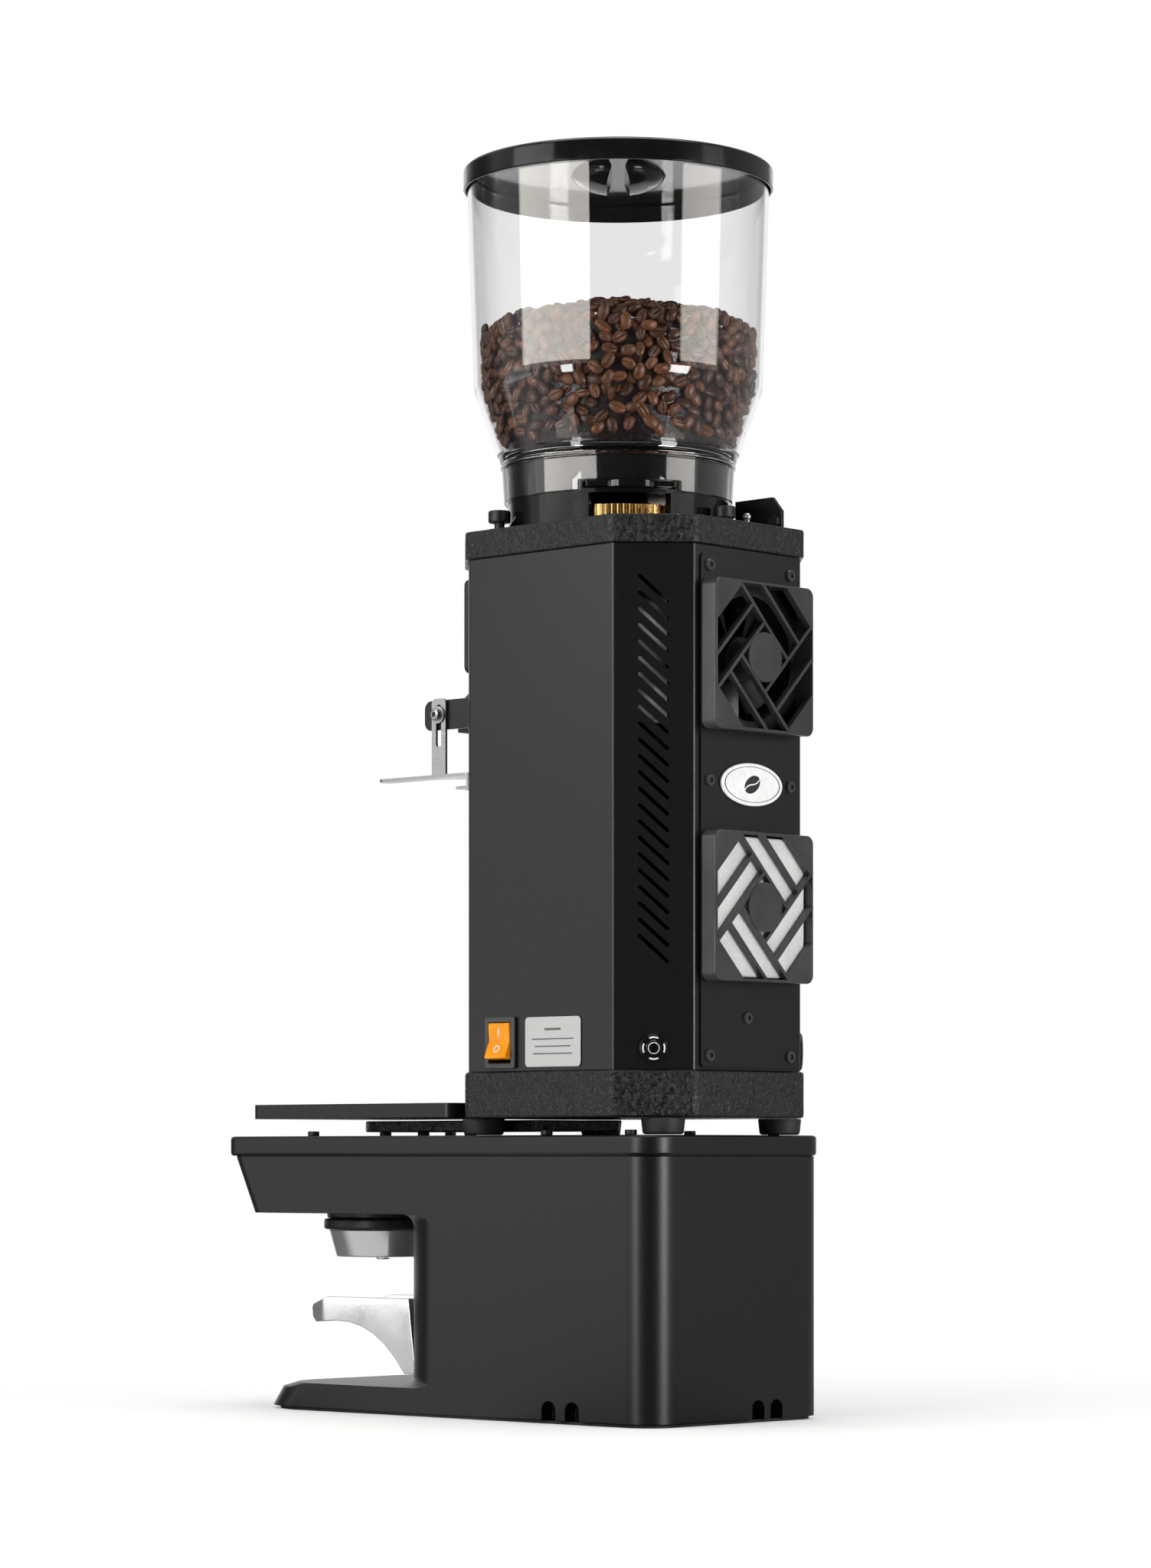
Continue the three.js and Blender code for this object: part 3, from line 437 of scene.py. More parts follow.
def printed(name, tone, low=0.35, high=0.5):
    return finish(name, grey(tone * 0.9), grey(tone), (low, high), (300, 3), (200, 3), (700, 2), 0.01)


def roast(name, dark, light):
    return finish(name, dark, light, (0.2, 0.36), (150, 5, 0.65), (260, 3), (900, 4, 0.6), 0.1,
                  ramp=(0.28, 0.68))


def wrinkle_paint():
    look = Look("wrinkle_paint", grey(0.02), 0.5)
    crinkle = look.noise(330, 4, 0.6, 1.6)
    ridges = look.noise(150, 3, 0.5, 2.4)
    look.tones(crinkle, (0.0035, 0.0035, 0.0037), (0.006, 0.006, 0.0063))
    look.rough(ridges, 0.24, 0.38)
    look.bump(look.added(crinkle, ridges, 0.8), 0.75)
    return look.material


def brushed_metal(name, tone, direction=(20, 900, 900), low=0.22, high=0.42):
    """direction holds the noise scale along each axis: small along the brushing."""
    look = Look(name, grey(tone), low, 1.0)
    lines = look.noise(1.0, 4, 0.6, 0.0, look.stretched(direction))
    look.tones(lines, grey(tone * 0.82), grey(tone))
    look.rough(lines, low, high)
    look.bump(lines, 0.01)
    return look.material


def brass():
    look = Look("brass", (0.86, 0.64, 0.3), 0.2, 1.0)
    look.tones(look.noise(90, 3), (0.76, 0.54, 0.22), (0.92, 0.7, 0.36))
    look.rough(look.noise(140, 4), 0.14, 0.32)
    look.bump(look.noise(1.0, 3, 0.5, 0.0, look.stretched((300, 300, 1800))), 0.012)
    return look.material


def clear_plastic():
    """Clear, with a plain tint in place of refraction where light only passes through."""
    look = Look("clear_plastic", (0.95, 0.95, 0.952), 0.02, IOR=1.47, Transmission_Weight=1.0)
    look.rough(look.noise(30, 4, 0.7), 0.0, 0.02)
    shadow = look.tree.nodes.new("ShaderNodeLightPath").outputs["Is Shadow Ray"]
    through = add_node(look.tree, "BsdfTransparent", {"Color": (0.9, 0.9, 0.91, 1)})
    look.shown_by(look.mixed(shadow, look.shader.outputs["BSDF"], through.outputs["BSDF"]))
    return look.material


def felt():
    look = Look("filter_felt", (0.8, 0.8, 0.79), 0.95, Sheen_Weight=0.3)
    fibres = look.noise(1.0, 6, 0.7, 1.2, look.stretched((700, 200, 700)))
    look.tones(look.added(fibres, look.noise(45, 3), 0.6), grey(0.6), (0.86, 0.86, 0.85), 0.5, 1.1)
    look.bump(fibres, 0.6)
    return look.material


def amber():
    # The faint emission, in the tint's colour, is a painted glow for light passing through the translucent
    # amber plastic.
    look = Look("amber_plastic", (0.9, 0.34, 0.01), 0.16, Specular_IOR_Level=0.3, Emission_Strength=0.16)
    tint = look.tones(look.noise(120, 3), (0.7, 0.21, 0.002), (0.86, 0.32, 0.004))
    look.link(tint, look.shader.inputs["Emission Color"])
    look.rough(look.noise(90, 4), 0.12, 0.24)
    look.bump(look.noise(500, 2), 0.01)
    return look.material


def silver_film():
    look = Look("silver_film", grey(0.6), 0.4, 0.5)
    look.tones(look.noise(1.0, 3, 0.5, 0, look.stretched((2400, 20, 2400))), grey(0.56), grey(0.6))
    look.rough(look.noise(160, 3), 0.36, 0.46)
    look.bump(look.noise(500, 2), 0.01)
    return look.material


def lit_glass(name, color):
    look = Look(name, color, 0.08, Coat_Weight=1.0)
    look.tones(look.noise(25, 2), tuple(c * 0.8 for c in color), color)
    look.rough(look.noise(50, 4), 0.05, 0.12)
    return look.material


SHEET_BLACK = powder_coat("sheet_black", (0.0042, 0.0042, 0.0044), (0.0058, 0.0058, 0.006), 0.29, 0.34)
TAMPER_BLACK = powder_coat("tamper_black", (0.0038, 0.0038, 0.004), (0.005, 0.005, 0.0052), 0.34, 0.38,
                           1800, 0.012)
WRINKLE = wrinkle_paint()
GLOSS = gloss_plastic("gloss_black", 0.006)
GUARD_BLACK = matt_plastic("guard_black", 0.042, 0.16, 0.26)
MATT = matt_plastic("matt_black", 0.013, 0.36, 0.5)
RUBBER = finish("rubber", grey(0.012), grey(0.024), (0.5, 0.7), (60, 4), (120, 4), (900, 3), 0.05)
CHROME = finish("chrome", grey(0.95 * 0.94), grey(0.95), (0.04, 0.12), (12, 2), (35, 5, 0.7), (400, 2), 0.004,
                metallic=0.85)
STEEL = brushed_metal("steel", 0.5)
STAINLESS = brushed_metal("stainless", 0.52, (60, 25, 1500))
# Tone 0.2 is far darker than bare aluminium: painted shade, so the inner parts seen through the vents read
# dark.
ALUMINIUM_PAINTED_SHADE = brushed_metal("aluminium", 0.2, (200, 200, 200), 0.35, 0.55)
BRASS = brass()
CLEAR = clear_plastic()
BEANS = [
    roast("roast_dark", (0.026, 0.009, 0.005), (0.07, 0.026, 0.012)),
    roast("roast_medium", (0.042, 0.014, 0.006), (0.11, 0.04, 0.017)),
    roast("roast_light", (0.06, 0.02, 0.008), (0.16, 0.06, 0.024)),
]
# Near-black painted shade: it colours the solid core inside the heap, so the gaps between the beans read
# dark.
BEAN_GAP_SHADE = roast("painted_gap_shade", (0.006, 0.003, 0.003), (0.014, 0.007, 0.007))
FELT = felt()
AMBER_PAINTED_GLOW = amber()
SILVER = silver_film()
ENAMEL = printed("badge_enamel", 0.95, 0.15, 0.25)
INK = printed("ink", 0.12)
WHITE_INK = printed("white_ink", 0.75)
DARK_INK = printed("dark_ink", 0.02)
DISPLAY = lit_glass("display_glass", (0.012, 0.014, 0.018))


# ---------------- camera
def photo_camera():
    """A long level lens near the ground, shifted up, that looks at the rear right corner."""
    toward = Vector(TOWARD_CAMERA)
    distance, aside, lift = 2678.4, 25.1, 153.0
    data = bpy.data.cameras.new("photo_camera")
    data.lens = 104.63
    data.sensor_width = 36
    data.shift_y = 0.2379
    data.clip_start = 0.05
    data.clip_end = 60
    camera = shown("photo_camera", data)
    camera.location = (toward * distance - Vector(CAMERA_RIGHT) * aside + Vector((0, 0, lift))) * MM
    camera.rotation_euler = (-toward).to_track_quat("-Z", "Y").to_euler()
    scene.camera = camera


# ---------------- tamper base
SIDE = BODY_HIGH[0]
TAMPER_BACK = BODY_HIGH[1]
BODY_TOP = BODY_HIGH[2]
PAD_TOP = BODY_LOW[2]
ARM_UNDER = 119.1
ARM_FRONT = BODY_LOW[1]
ARM_FRONT_UNDER = -238
ARM_CORNER = 13
FOOT_TOP = 16.7
FOOT_FRONT = -238
FOOT_CORNER = 40
COLUMN_FRONT = -77.4
COLUMN_CORNER = 20
NOSE_RADIUS = 64
NOSE_CREASE = 20
NOSE_FLAT = 12
RIM_INSET = 0.6
RIM_RISE = 2.5
PISTON_Y = -197


def nose(inset=0.0):
    """Rounded front of the column in plan, from left to right, with a creased flat at each side."""
    lean = math.radians(NOSE_CREASE)
    side = SIDE - inset
    flat = [(side - math.sin(lean) * t, COLUMN_FRONT - math.cos(lean) * t) for t in (NOSE_FLAT, 0.6, 0)]
    knee_x, knee_y = flat[0]
    middle = (knee_x - NOSE_RADIUS * math.cos(lean), knee_y + NOSE_RADIUS * math.sin(lean))
    right = arc(*middle, NOSE_RADIUS, -90, -NOSE_CREASE, 20) + flat[1:]
    return [(-x, y) for x, y in reversed(right)] + right


def column_outline(inset=0.0):
    x, y = SIDE - inset - COLUMN_CORNER, TAMPER_BACK - inset - COLUMN_CORNER
    return arc(x, y, COLUMN_CORNER, 0, 90, 14) + arc(-x, y, COLUMN_CORNER, 90, 180, 14) + nose(inset)


def bay_cutter():
    """The open space round the column's nose, with soft inner rims that leave fillets on the body."""
    outline = [(-120, COLUMN_FRONT), *nose(), (120, COLUMN_FRONT), (120, -330), (-120, -330)]
    cutter = prism("bay", outline, FOOT_TOP, ARM_UNDER)
    work = bmesh.new()
    work.from_mesh(cutter.data)
    weights = work.edges.layers.float.new("bevel_weight_edge")
    for edge in work.edges:
        a, b = (v.co / MM for v in edge.verts)
        near = all(abs(v.x) < SIDE + 1 and -140 < v.y < COLUMN_FRONT + 0.5 for v in (a, b))
        if near and abs(a.z - b.z) < 0.1:
            edge[weights] = 1.0 if a.z > 60 else 0.75
    work.to_mesh(cutter.data)
    work.free()
    step = cutter.modifiers.new("bevel", "BEVEL")
    step.width = 8 * MM
    step.segments = 8
    step.limit_method = "WEIGHT"
    return settle(cutter)


def limb(front, radius, inset=0.0):
    """Plan of the arm or the foot, with both front corners rounded."""
    return soft_rectangle(inset - SIDE, SIDE - inset, front + inset, -60, [radius, radius, 0, 0], 16)


def cable_notches():
    outline = [(-5.5, -3), (5.5, -3)] + arc(0, 5.5, 5.5, 0, 180, 12)
    holes = []
    for x, y, turn in ((SIDE, 16.5, 90), (SIDE, 35, 90), (-15, TAMPER_BACK, 180), (-31, TAMPER_BACK, 180)):
        holes.append(moved(prism("notch", outline, -9, 4), (x, y, PAD_TOP), (90, 0, turn)))
    return joined("notches", holes)


def tamper_shell():
    body = prism("tamper_body_look", column_outline(RIM_INSET), PAD_TOP, BODY_TOP + RIM_RISE)
    fuse(body, prism("skirt", column_outline(), PAD_TOP, BODY_TOP))
    lean = (ARM_FRONT_UNDER - ARM_FRONT) / (BODY_TOP - ARM_UNDER)
    heights = (ARM_UNDER - 12, BODY_TOP)
    arm = loft("arm", [(limb(ARM_FRONT + lean * (BODY_TOP - z), ARM_CORNER), z) for z in heights])
    toe = ((0, PAD_TOP), (9, FOOT_TOP - 3), (21.6, FOOT_TOP), (22, FOOT_TOP + 8))
    foot = loft("foot", [(limb(FOOT_FRONT + back, FOOT_CORNER), z) for back, z in toe])
    rim = limb(ARM_FRONT, ARM_CORNER - RIM_INSET, RIM_INSET)
    fuse(body, arm, foot, prism("rim", rim, BODY_TOP - 0.5, BODY_TOP + RIM_RISE))
    cut(body, bay_cutter(), cable_notches())
    return soften(body, 2.2, 4, 40, 42)


def slab(node, radii, steps, *softness):
    """A flat piece on a CAD node's box, with rounded corners in plan and soft edges."""
    low, high = span(node)
    outline = soft_rectangle(low[0], high[0], low[1], high[1], radii, steps)
    return soften(prism(f"{node}_look", outline, low[2], high[2]), *softness)


def piston_pieces():
    low, high = span("piston_head")
    base, top = low[2], high[2]
    neck = [(0, base), (4.0, base), (4.7, base + 0.5), (5, base + 1.6), (27.8, base + 1.6)]
    skirt = [(28.9, base + 1.9), (29.5, base + 2.7), (33.5, top - 1.2), (33.7, top - 0.5), (33.2, top)]
    head = lathe("piston_head_look", neck + skirt + [(0, top)], 128)
    place(smooth(moved(head, (0, PISTON_Y, 0)), 30), CHROME, "piston", "chrome", "piston_head")
    low, high = span("piston_collar")
    ring = round_button("piston_collar_look", 36.7, low[2], high[2], 1.6, 128)
    place(smooth(moved(ring, (0, PISTON_Y, 0)), 40), MATT, "piston", "plastic_black", "piston_collar")
    bottom, top = high[2] + 0.3, ARM_UNDER + 0.3
    bore = span("piston_spindle")[1][0] + 0.8
    profile = [(bore, bottom), (34, bottom), (34.8, bottom + 0.8), (34.8, top), (bore, top)]
    seal = lathe("piston_seal", profile)
    place(smooth(moved(seal, (0, PISTON_Y, 0)), 40), MATT, "frame", "plastic_black")


def build_tamper():
    place(tamper_shell(), TAMPER_BLACK, "frame", "satin_black", "tamper_body")
    plate = slab("tamper_top_plate", [13, 13, 20, 20], 14, 2.0, 4)
    place(plate, TAMPER_BLACK, "frame", "satin_black", "tamper_top_plate")
    sole = slab("tamper_foot_pad", [40, 40, 17, 17], 16, 0.4, 2)
    place(sole, RUBBER, "frame", "rubber", "tamper_foot_pad")
    place_cad("portafilter_clamp", CHROME, "frame", "chrome", 3.2, 4, 40, 60)
    piston_pieces()
    place_cad("tamper_display", DISPLAY, "frame", "gloss_black", 0.4, 3)


# ---------------- grinder body
def casting(node, hollow_low, hollow_high):
    """An octagonal casting on a CAD node's box, hollow between two heights."""
    low, high = span(node)
    shell = prism(f"{node}_look", octagon(OVERHANG, 7.0, 8), low[2], high[2])
    return cut(shell, prism("hollow", octagon(OVERHANG - 5), hollow_low, hollow_high))


def top_cap():
    cap = casting("top_cap", CAP_LOW[2] - 5, CAP_HIGH[2] - 6)
    cut(cap, rod("bore", 51, CAP_LOW[2] - 5, CAP_HIGH[2] + 5, 96))
    return soften(cap, 2.6, 4)


def base_casting():
    low, high = span("base_casting")
    return soften(casting("base_casting", low[2] + 5, high[2] + 5), 1.6, 3)


def vent_cutters():
    count, pitch, top = 23, 9.25, 474.3
    run, drop_by, width = 17.2, 15.8, 2.2
    half = math.hypot(run, drop_by) / 2
    outline = soft_rectangle(-half, half, -width / 2, width / 2, width / 2 - 0.01, 5)
    slots = []
    for i in range(count):
        for side in (1, -1):
            slot = turned(prism("slot", outline, -6, 6), 0, 0, -math.degrees(math.atan2(drop_by, run)))
            slot = moved(turned(slot, 90, 0, 0), (CORNER_X, CORNER_Y, top - i * pitch), (0, 0, 135))
            slots.append(moved(slot, scale=(side, 1, 1)))
    return joined("slots", slots)


def through_corner(piece, side):
    """Turns a piece made about Z to point out through a rear corner."""
    return moved(turned(piece, 0, 90, 0), (side * CORNER_X, CORNER_Y, FITTING_Z),
                 (0, 0, 45 if side > 0 else 135))


def housing():
    low, high = HOUSING_LOW[2], HOUSING_HIGH[2]
    shell = prism("housing_look", octagon(0, 3.0, 6), low, high)
    cut(shell, prism("hollow", octagon(-2, 0.8, 3), low - 5, high + 5))
    holes = [
        block("hole", (HALF_X - 5, -29, 206), (HALF_X + 5, -9, 232)),
        block("hole", (-36, BACK_Y - 5, 240), (36, BACK_Y + 5, 484)),
        block("hole", (-16, FRONT_Y - 5, 409), (16, FRONT_Y + 5, 434)),
        through_corner(rod("hole", 6.7, -12, 12), 1),
        through_corner(rod("hole", 8.8, -12, 12), -1),
    ]
    cut(shell, joined("holes", holes), vent_cutters())
    return smooth(tidy_mesh(shell), 28)


def back_panel():
    low, high = PANEL_LOW, PANEL_HIGH
    outline = soft_rectangle(low[0], high[0], -high[2], -low[2], 2.5, 6)
    plate = moved(prism("back_panel_look", outline, 0, high[1] - low[1]), (0, low[1], 0), (-90, 0, 0))
    bores = [moved(rod("bore", 36, -5, 5, 96), (0, BACK_Y, z), (90, 0, 0)) for z in FAN_Z.values()]
    cut(plate, joined("bores", bores))
    return soften(plate, 0.35, 2)


def tray():
    low, high = span("drip_tray")
    wall = 2.5
    pan = prism("drip_tray_look", soft_rectangle(low[0], high[0], low[1], high[1], 6, 8), low[2], high[2])
    well = soft_rectangle(low[0] + wall, high[0] - wall, low[1] + wall, high[1] - wall, 4, 8)
    cut(pan, prism("well", well, low[2] + 2, high[2] + 5))
    return soften(pan, 0.8, 3)


def build_grinder_body():
    place(base_casting(), WRINKLE, "frame", "wrinkle_black", "base_casting")
    place(top_cap(), WRINKLE, "frame", "wrinkle_black", "top_cap")
    place(housing(), SHEET_BLACK, "frame", "satin_black", "housing")
    place(back_panel(), SHEET_BLACK, "frame", "satin_black", "back_panel")
    place(tray(), TAMPER_BLACK, "tray", "satin_black", "drip_tray")
    tongue = slab("tray_support", [34, 34, 4, 4], 16, 0.9, 3)
    place(tongue, WRINKLE, "frame", "wrinkle_black", "tray_support")
    for node in ("foot_front_right", "foot_front_left", "foot_rear_right", "foot_rear_left"):
        low, high = span(node)
        x, y, _ = centre(node)
        profile = [(0, low[2]), (10.4, low[2]), (11.4, low[2] + 0.5), (11.8, low[2] + 1.4),
                   (12.6, high[2] - 0.6), (12.2, high[2]), (0, high[2])]
        foot = smooth(moved(lathe(f"{node}_look", profile, 64), (x, y, 0)), 40)
        place(foot, RUBBER, "frame", "rubber", node)


# ---------------- fans
def on_back(piece, y, z):
    """Turns a piece made in plan so that its top faces back, with its outline's y as height."""
    return moved(turned(piece, -90, 0, 0), (0, y, z), (0, 180, 0))


def fan_guard(name):
    half, depth, face, wall = 42.75, 11.5, 4, 2
    size = 2 * half
    cover = soften(prism(name, soft_rectangle(-half, half, -half, half, 5, 8), 0, depth), 1.3, 3)
    inside = soft_rectangle(wall - half, half - wall, wall - half, half - wall, 3, 6)
    cut(cover, prism("inside", inside, -1, depth - face))
    reach = half - 0.02 * size
    corner = 0.7 * size - reach
    window = [(reach, -corner), (reach, corner), (corner, reach), (-corner, reach),
              (-reach, corner), (-reach, -corner), (-corner, -reach), (corner, -reach)]
    cut(cover, prism("window", window, -1, depth + 1))
    root2 = math.sqrt(2)
    for offset in (0.235, 0.465):
        far, near = (0.98 - offset) * size / root2, 0.235 * size / root2
        for turn in (0, 90, 180, 270):
            bar = moved(block("bar", (-far, -1, depth - face), (near, 1, depth - 0.3)),
                        (0, offset * size / root2, 0))
            fuse(cover, turned(bar, 0, 0, turn - 45))
    fuse(cover, rod("hub", 14.25, depth - face, depth, 64))
    return smooth(tidy_mesh(cover), 28)


def fan_blade():
    """A thin blade that twists and sweeps from root to tip."""
    root, tip, thick, along, across = 12.5, 35, 0.9, 8, 8
    rings = []
    for i in range(along + 1):
        radius = root + (tip - root) * i / along
        pitch = math.radians(44 - 16 * i / along)
        width = 11 + 5 * i / along
        layers = []
        for lift in (0, thick):
            layer = []
            for j in range(across + 1):
                s = (j / across - 0.5) * width
                turn = (s * math.cos(pitch) + 0.012 * s * s + 0.35 * i) / radius
                height = min(max(13 + s * math.sin(pitch) - 0.015 * s * s + lift, 5.2), 21.4)
                layer.append((radius * math.cos(turn), radius * math.sin(turn), height))
            layers.append(layer)
        rings.append(layers[0] + layers[1][::-1])
    return skin("blade", rings)


def fan_rotor(name):
    blades = [smooth(turned(fan_blade(), 0, 0, k * 360 / 7), 60) for k in range(7)]
    return joined(name, [smooth(round_button("hub", 13.5, 4, 22, 1.5), 40), *blades])


def build_fans():
    outer = span("upper_fan_guard")[0][1]
    inner = span("upper_fan_frame")[0][1]
    for level, z in FAN_Z.items():
        guard = on_back(fan_guard(f"{level}_fan_guard_look"), outer, z)
        place(guard, GUARD_BLACK, "frame", "plastic_black", f"{level}_fan_guard")
        rotor = on_back(fan_rotor(f"{level}_fan_rotor_look"), inner, z)
        place(rotor, MATT, f"{level}_fan", "plastic_black", f"{level}_fan_rotor")
        place_cad(f"{level}_fan_frame", MATT, "frame", "plastic_black", 0.5, 2)
    place_cad("filter_pad", FELT, "frame", "filter_felt", 1.2, 3)


# ---------------- fittings
PANEL_SCREWS = [(x, z) for x in (-35, 35) for z in (488.8, 366.7, 210.7)] + [(2.5, 232.5)]
PLATE_SCREWS = [(side * x, y) for x, y in ((59, -197.5), (62, 1), (62, 67)) for side in (1, -1)]
SUPPORT_STUDS = [(12, y) for y in (-183, -150, -110)]
PANEL_FACE = PANEL_HIGH[1] + 0.6
ROCKER_REST = -10
ROCKER_SLOPE = math.degrees(math.atan2(2.2, 9.6))


def screw_head(name, spot, radius=3.5, height=1.0):
    """Countersunk head with a hexagonal socket, seated on the back panel."""
    profile = [(0, -0.6), (radius, -0.6), (radius, height * 0.5), (radius * 0.9, height), (0, height)]
    head = lathe(name, profile, 40)
    cut(head, lathe("socket", [(0, -0.2), (radius * 0.48, -0.2), (radius * 0.48, 4), (0, 4)], 6))
    smooth(head, 30)
    turn = Vector((0, 0, 1)).rotation_difference(Vector((0, 1, 0))).to_matrix().to_4x4()
    head.data.transform(Matrix.Translation(Vector(spot) * MM) @ turn)
    return head


def build_screws():
    for i, (x, z) in enumerate(PANEL_SCREWS):
        head = screw_head(f"panel_screw_{i + 1}", (x, PANEL_FACE, z))
        place(head, GUARD_BLACK, "frame", "plastic_black")
    for i, (x, y) in enumerate(PLATE_SCREWS):
        stud = round_button(f"plate_screw_{i + 1}", 3.5, PLATE_TOP + 0.02, PLATE_TOP + 3, 0.5, 40)
        cut(stud, rod("socket", 1.6, PLATE_TOP + 1.4, PLATE_TOP + 6, 6))
        place(smooth(moved(stud, (x, y, 0)), 35), MATT, "frame", "plastic_black")
    for i, (x, y) in enumerate(SUPPORT_STUDS):
        foot = round_button(f"support_stud_{i + 1}", 3.6, PLATE_TOP + 0.02, PLATE_TOP + 2.5, 0.4, 40)
        place(smooth(moved(foot, (x, y, 0)), 35), RUBBER, "frame", "rubber")


def build_switch():
    place_cad("switch_bezel", GUARD_BLACK, "frame", "plastic_black", 0.7, 3)
    place_cad("rocker", AMBER_PAINTED_GLOW, "rocker", "amber_plastic", 0.8, 3)
    _, y, z = centre("switch_bezel")
    # Marks are laid on the two halves of the rocker's face, which slope by the same angle as in CAD.
    line = prism("rocker_mark_on", soft_rectangle(-0.45, 0.45, -2.4, 2.4, 0.4, 3), 0, 0.14)
    circle = lathe("rocker_mark_off", [(1.5, 0), (2.3, 0), (2.3, 0.14), (1.5, 0.14)], 40)
    for mark, up in ((line, 1), (circle, -1)):
        mark = moved(turned(mark, 90, 0, 90), (6.46, 0, up * 4.8), (0, up * ROCKER_SLOPE, 0))
        place(moved(mark, (HALF_X - 3, y, z), (0, ROCKER_REST, 0)), WHITE_INK, "rocker", "silver_label")


def build_label():
    low, high = span("label_plate")
    outline = soft_rectangle(low[1], high[1], low[2], high[2], 2.5, 8)
    plate = prism("label_plate_look", outline, low[0], high[0])
    place(soften(turned(plate, 90, 0, 90), 0.15, 2), SILVER, "frame", "silver_label", "label_plate")
    _, y, middle = centre("label_plate")
    marks = []
    for z, width, height in ((7.2, 13, 1.3), (1.6, 33, 0.7), (-2.6, 28, 0.7), (-6.8, 31, 0.7)):
        outline = soft_rectangle(-width / 2, width / 2, -height / 2, height / 2, height * 0.4, 4)
        marks.append(moved(prism("row", outline, 0, 0.12), (high[0] - 0.05, y, middle + z), (90, 0, 90)))
    place(joined("label_print", marks), INK, "frame", "silver_label")


def oval(wide, tall, steps):
    return [(wide * math.cos(2 * math.pi * i / steps), tall * math.sin(2 * math.pi * i / steps))
            for i in range(steps)]


def build_badge():
    y, z = span("badge")[0][1], centre("badge")[2]
    plate = soften(prism("badge_look", oval(26.5, 12.25, 72), 0, 1.5), 0.5, 3)
    place(on_back(plate, y, z), ENAMEL, "frame", "silver_label", "badge")
    rim = moved(lathe("rim", [(23.2, 0), (23.9, 0), (23.9, 0.12), (23.2, 0.12)]), scale=(1, 0.43, 1))
    bean = prism("bean", oval(7.2, 4.6, 48), 0, 0.12)
    crease = [(-7.6 + 15.2 * i / 16, 0.9 * math.sin(2 * math.pi * i / 16) + 0.4) for i in range(17)]
    crease += [(x, v - 0.8) for x, v in reversed(crease)]
    cut(bean, prism("crease", crease, -1, 1))
    icon = moved(joined("badge_icon", [rim, turned(bean, 0, 0, 28)]), (0, 0, 1.48))
    place(on_back(icon, y, z), DARK_INK, "frame", "silver_label")


def build_corner_fittings():
    profile = [(5, -22), (6.2, -22), (6.2, 0.3), (7.9, 0.3), (8.1, 0.5), (8.1, 1.5), (7.4, 2.3), (6.9, 2.4),
               (5, 2.4)]
    holder = smooth(through_corner(lathe("fuse_holder_look", profile, 72), 1), 35)
    place(holder, GLOSS, "frame", "plastic_black", "fuse_holder")
    cap = lathe("fuse_cap_look", [(0, -18), (4.6, -18), (4.6, 2.4), (4.2, 2.75), (0, 2.75)], 48)
    cut(cap, block("slot", (-3.6, -0.7, 1.5), (3.6, 0.7, 4)))
    place(smooth(through_corner(cap, 1), 35), GLOSS, "fuse_cap", "plastic_black", "fuse_cap")
    ring = lathe("fuse_cap_ring", [(2.9, 2.74), (3.3, 2.74), (3.3, 2.84), (2.9, 2.84)], 48)
    place(through_corner(ring, 1), WHITE_INK, "fuse_cap", "silver_label")
    dashes = []
    for turn in (0, 90, 180, 270):
        outline = arc(0, 0, 6.6, turn - 24, turn + 24, 10) + arc(0, 0, 5.7, turn + 24, turn - 24, 10)
        dashes.append(prism("dash", outline, 2.39, 2.48))
    place(through_corner(joined("fuse_marks", dashes), 1), WHITE_INK, "frame", "silver_label")
    profile = [(4, -14), (8.2, -14), (8.2, 0.3), (10.8, 0.3), (11, 0.5), (11, 1.8), (10.4, 2.5), (9.8, 2.7),
               (4, 2.7)]
    gland = smooth(through_corner(lathe("power_inlet_look", profile, 64), -1), 35)
    place(gland, MATT, "frame", "plastic_black", "power_inlet")


# ---------------- collar, gear and adjuster
COLLAR_RADIUS = 65.4
GEAR_RADIUS = 56.0
GEAR_BASE = 519
KNURL_DEPTH = 0.34
SCREW_SPOTS = {"right": (63, -36), "rear": (-12.6, 72), "front": (-20, -70)}


def gear():
    teeth, depth = 100, 1.7
    low, high = GEAR_BASE, span("adjustment_gear")[1][2]
    outline = []
    for i in range(teeth):
        for share, drop_by in ((-0.3, depth), (-0.13, 0), (0.13, 0), (0.3, depth)):
            turn = 2 * math.pi * (i + share) / teeth
            r = GEAR_RADIUS - drop_by
            outline.append((r * math.cos(turn), r * math.sin(turn)))
    wheel = prism("adjustment_gear_look", outline, low, high)
    bevel = [(54.4, low - 1), (60, low - 1), (60, high + 1), (55.3, high + 1), (56.2, high - 0.5),
             (56.2, low + 0.5), (54.4, low - 0.8)]
    cut(wheel, lathe("rim", bevel))
    fuse(wheel, rod("barrel", 43.4, 463.3, low + 1, 64))
    cut(wheel, lathe("bore", [(0, 460), (24, 460), (24, 470), (32, 476), (32, 540), (0, 540)], 64))
    return smooth(tidy_mesh(wheel), 25)


def screw_tab(x, y, low):
    """Ear that reaches from the collar to a thumbscrew, with a rib on one side."""
    r = COLLAR_RADIUS
    reach = math.hypot(x, y)
    tab = block("tab", (r - 2, -6, low), (reach, 6, low + 2))
    fuse(tab, moved(rod("end", 6, low, low + 2, 40), (reach, 0, 0)))
    fuse(tab, turned(prism("rib", [(r - 1, 517), (reach - 3, 517), (r - 1, 526)], -6, -4.5), 90, 0, 0))
    cut(tab, moved(rod("hole", 3.4, 510, 520, 32), (reach, 0, 0)))
    return turned(tab, 0, 0, math.degrees(math.atan2(y, x)))


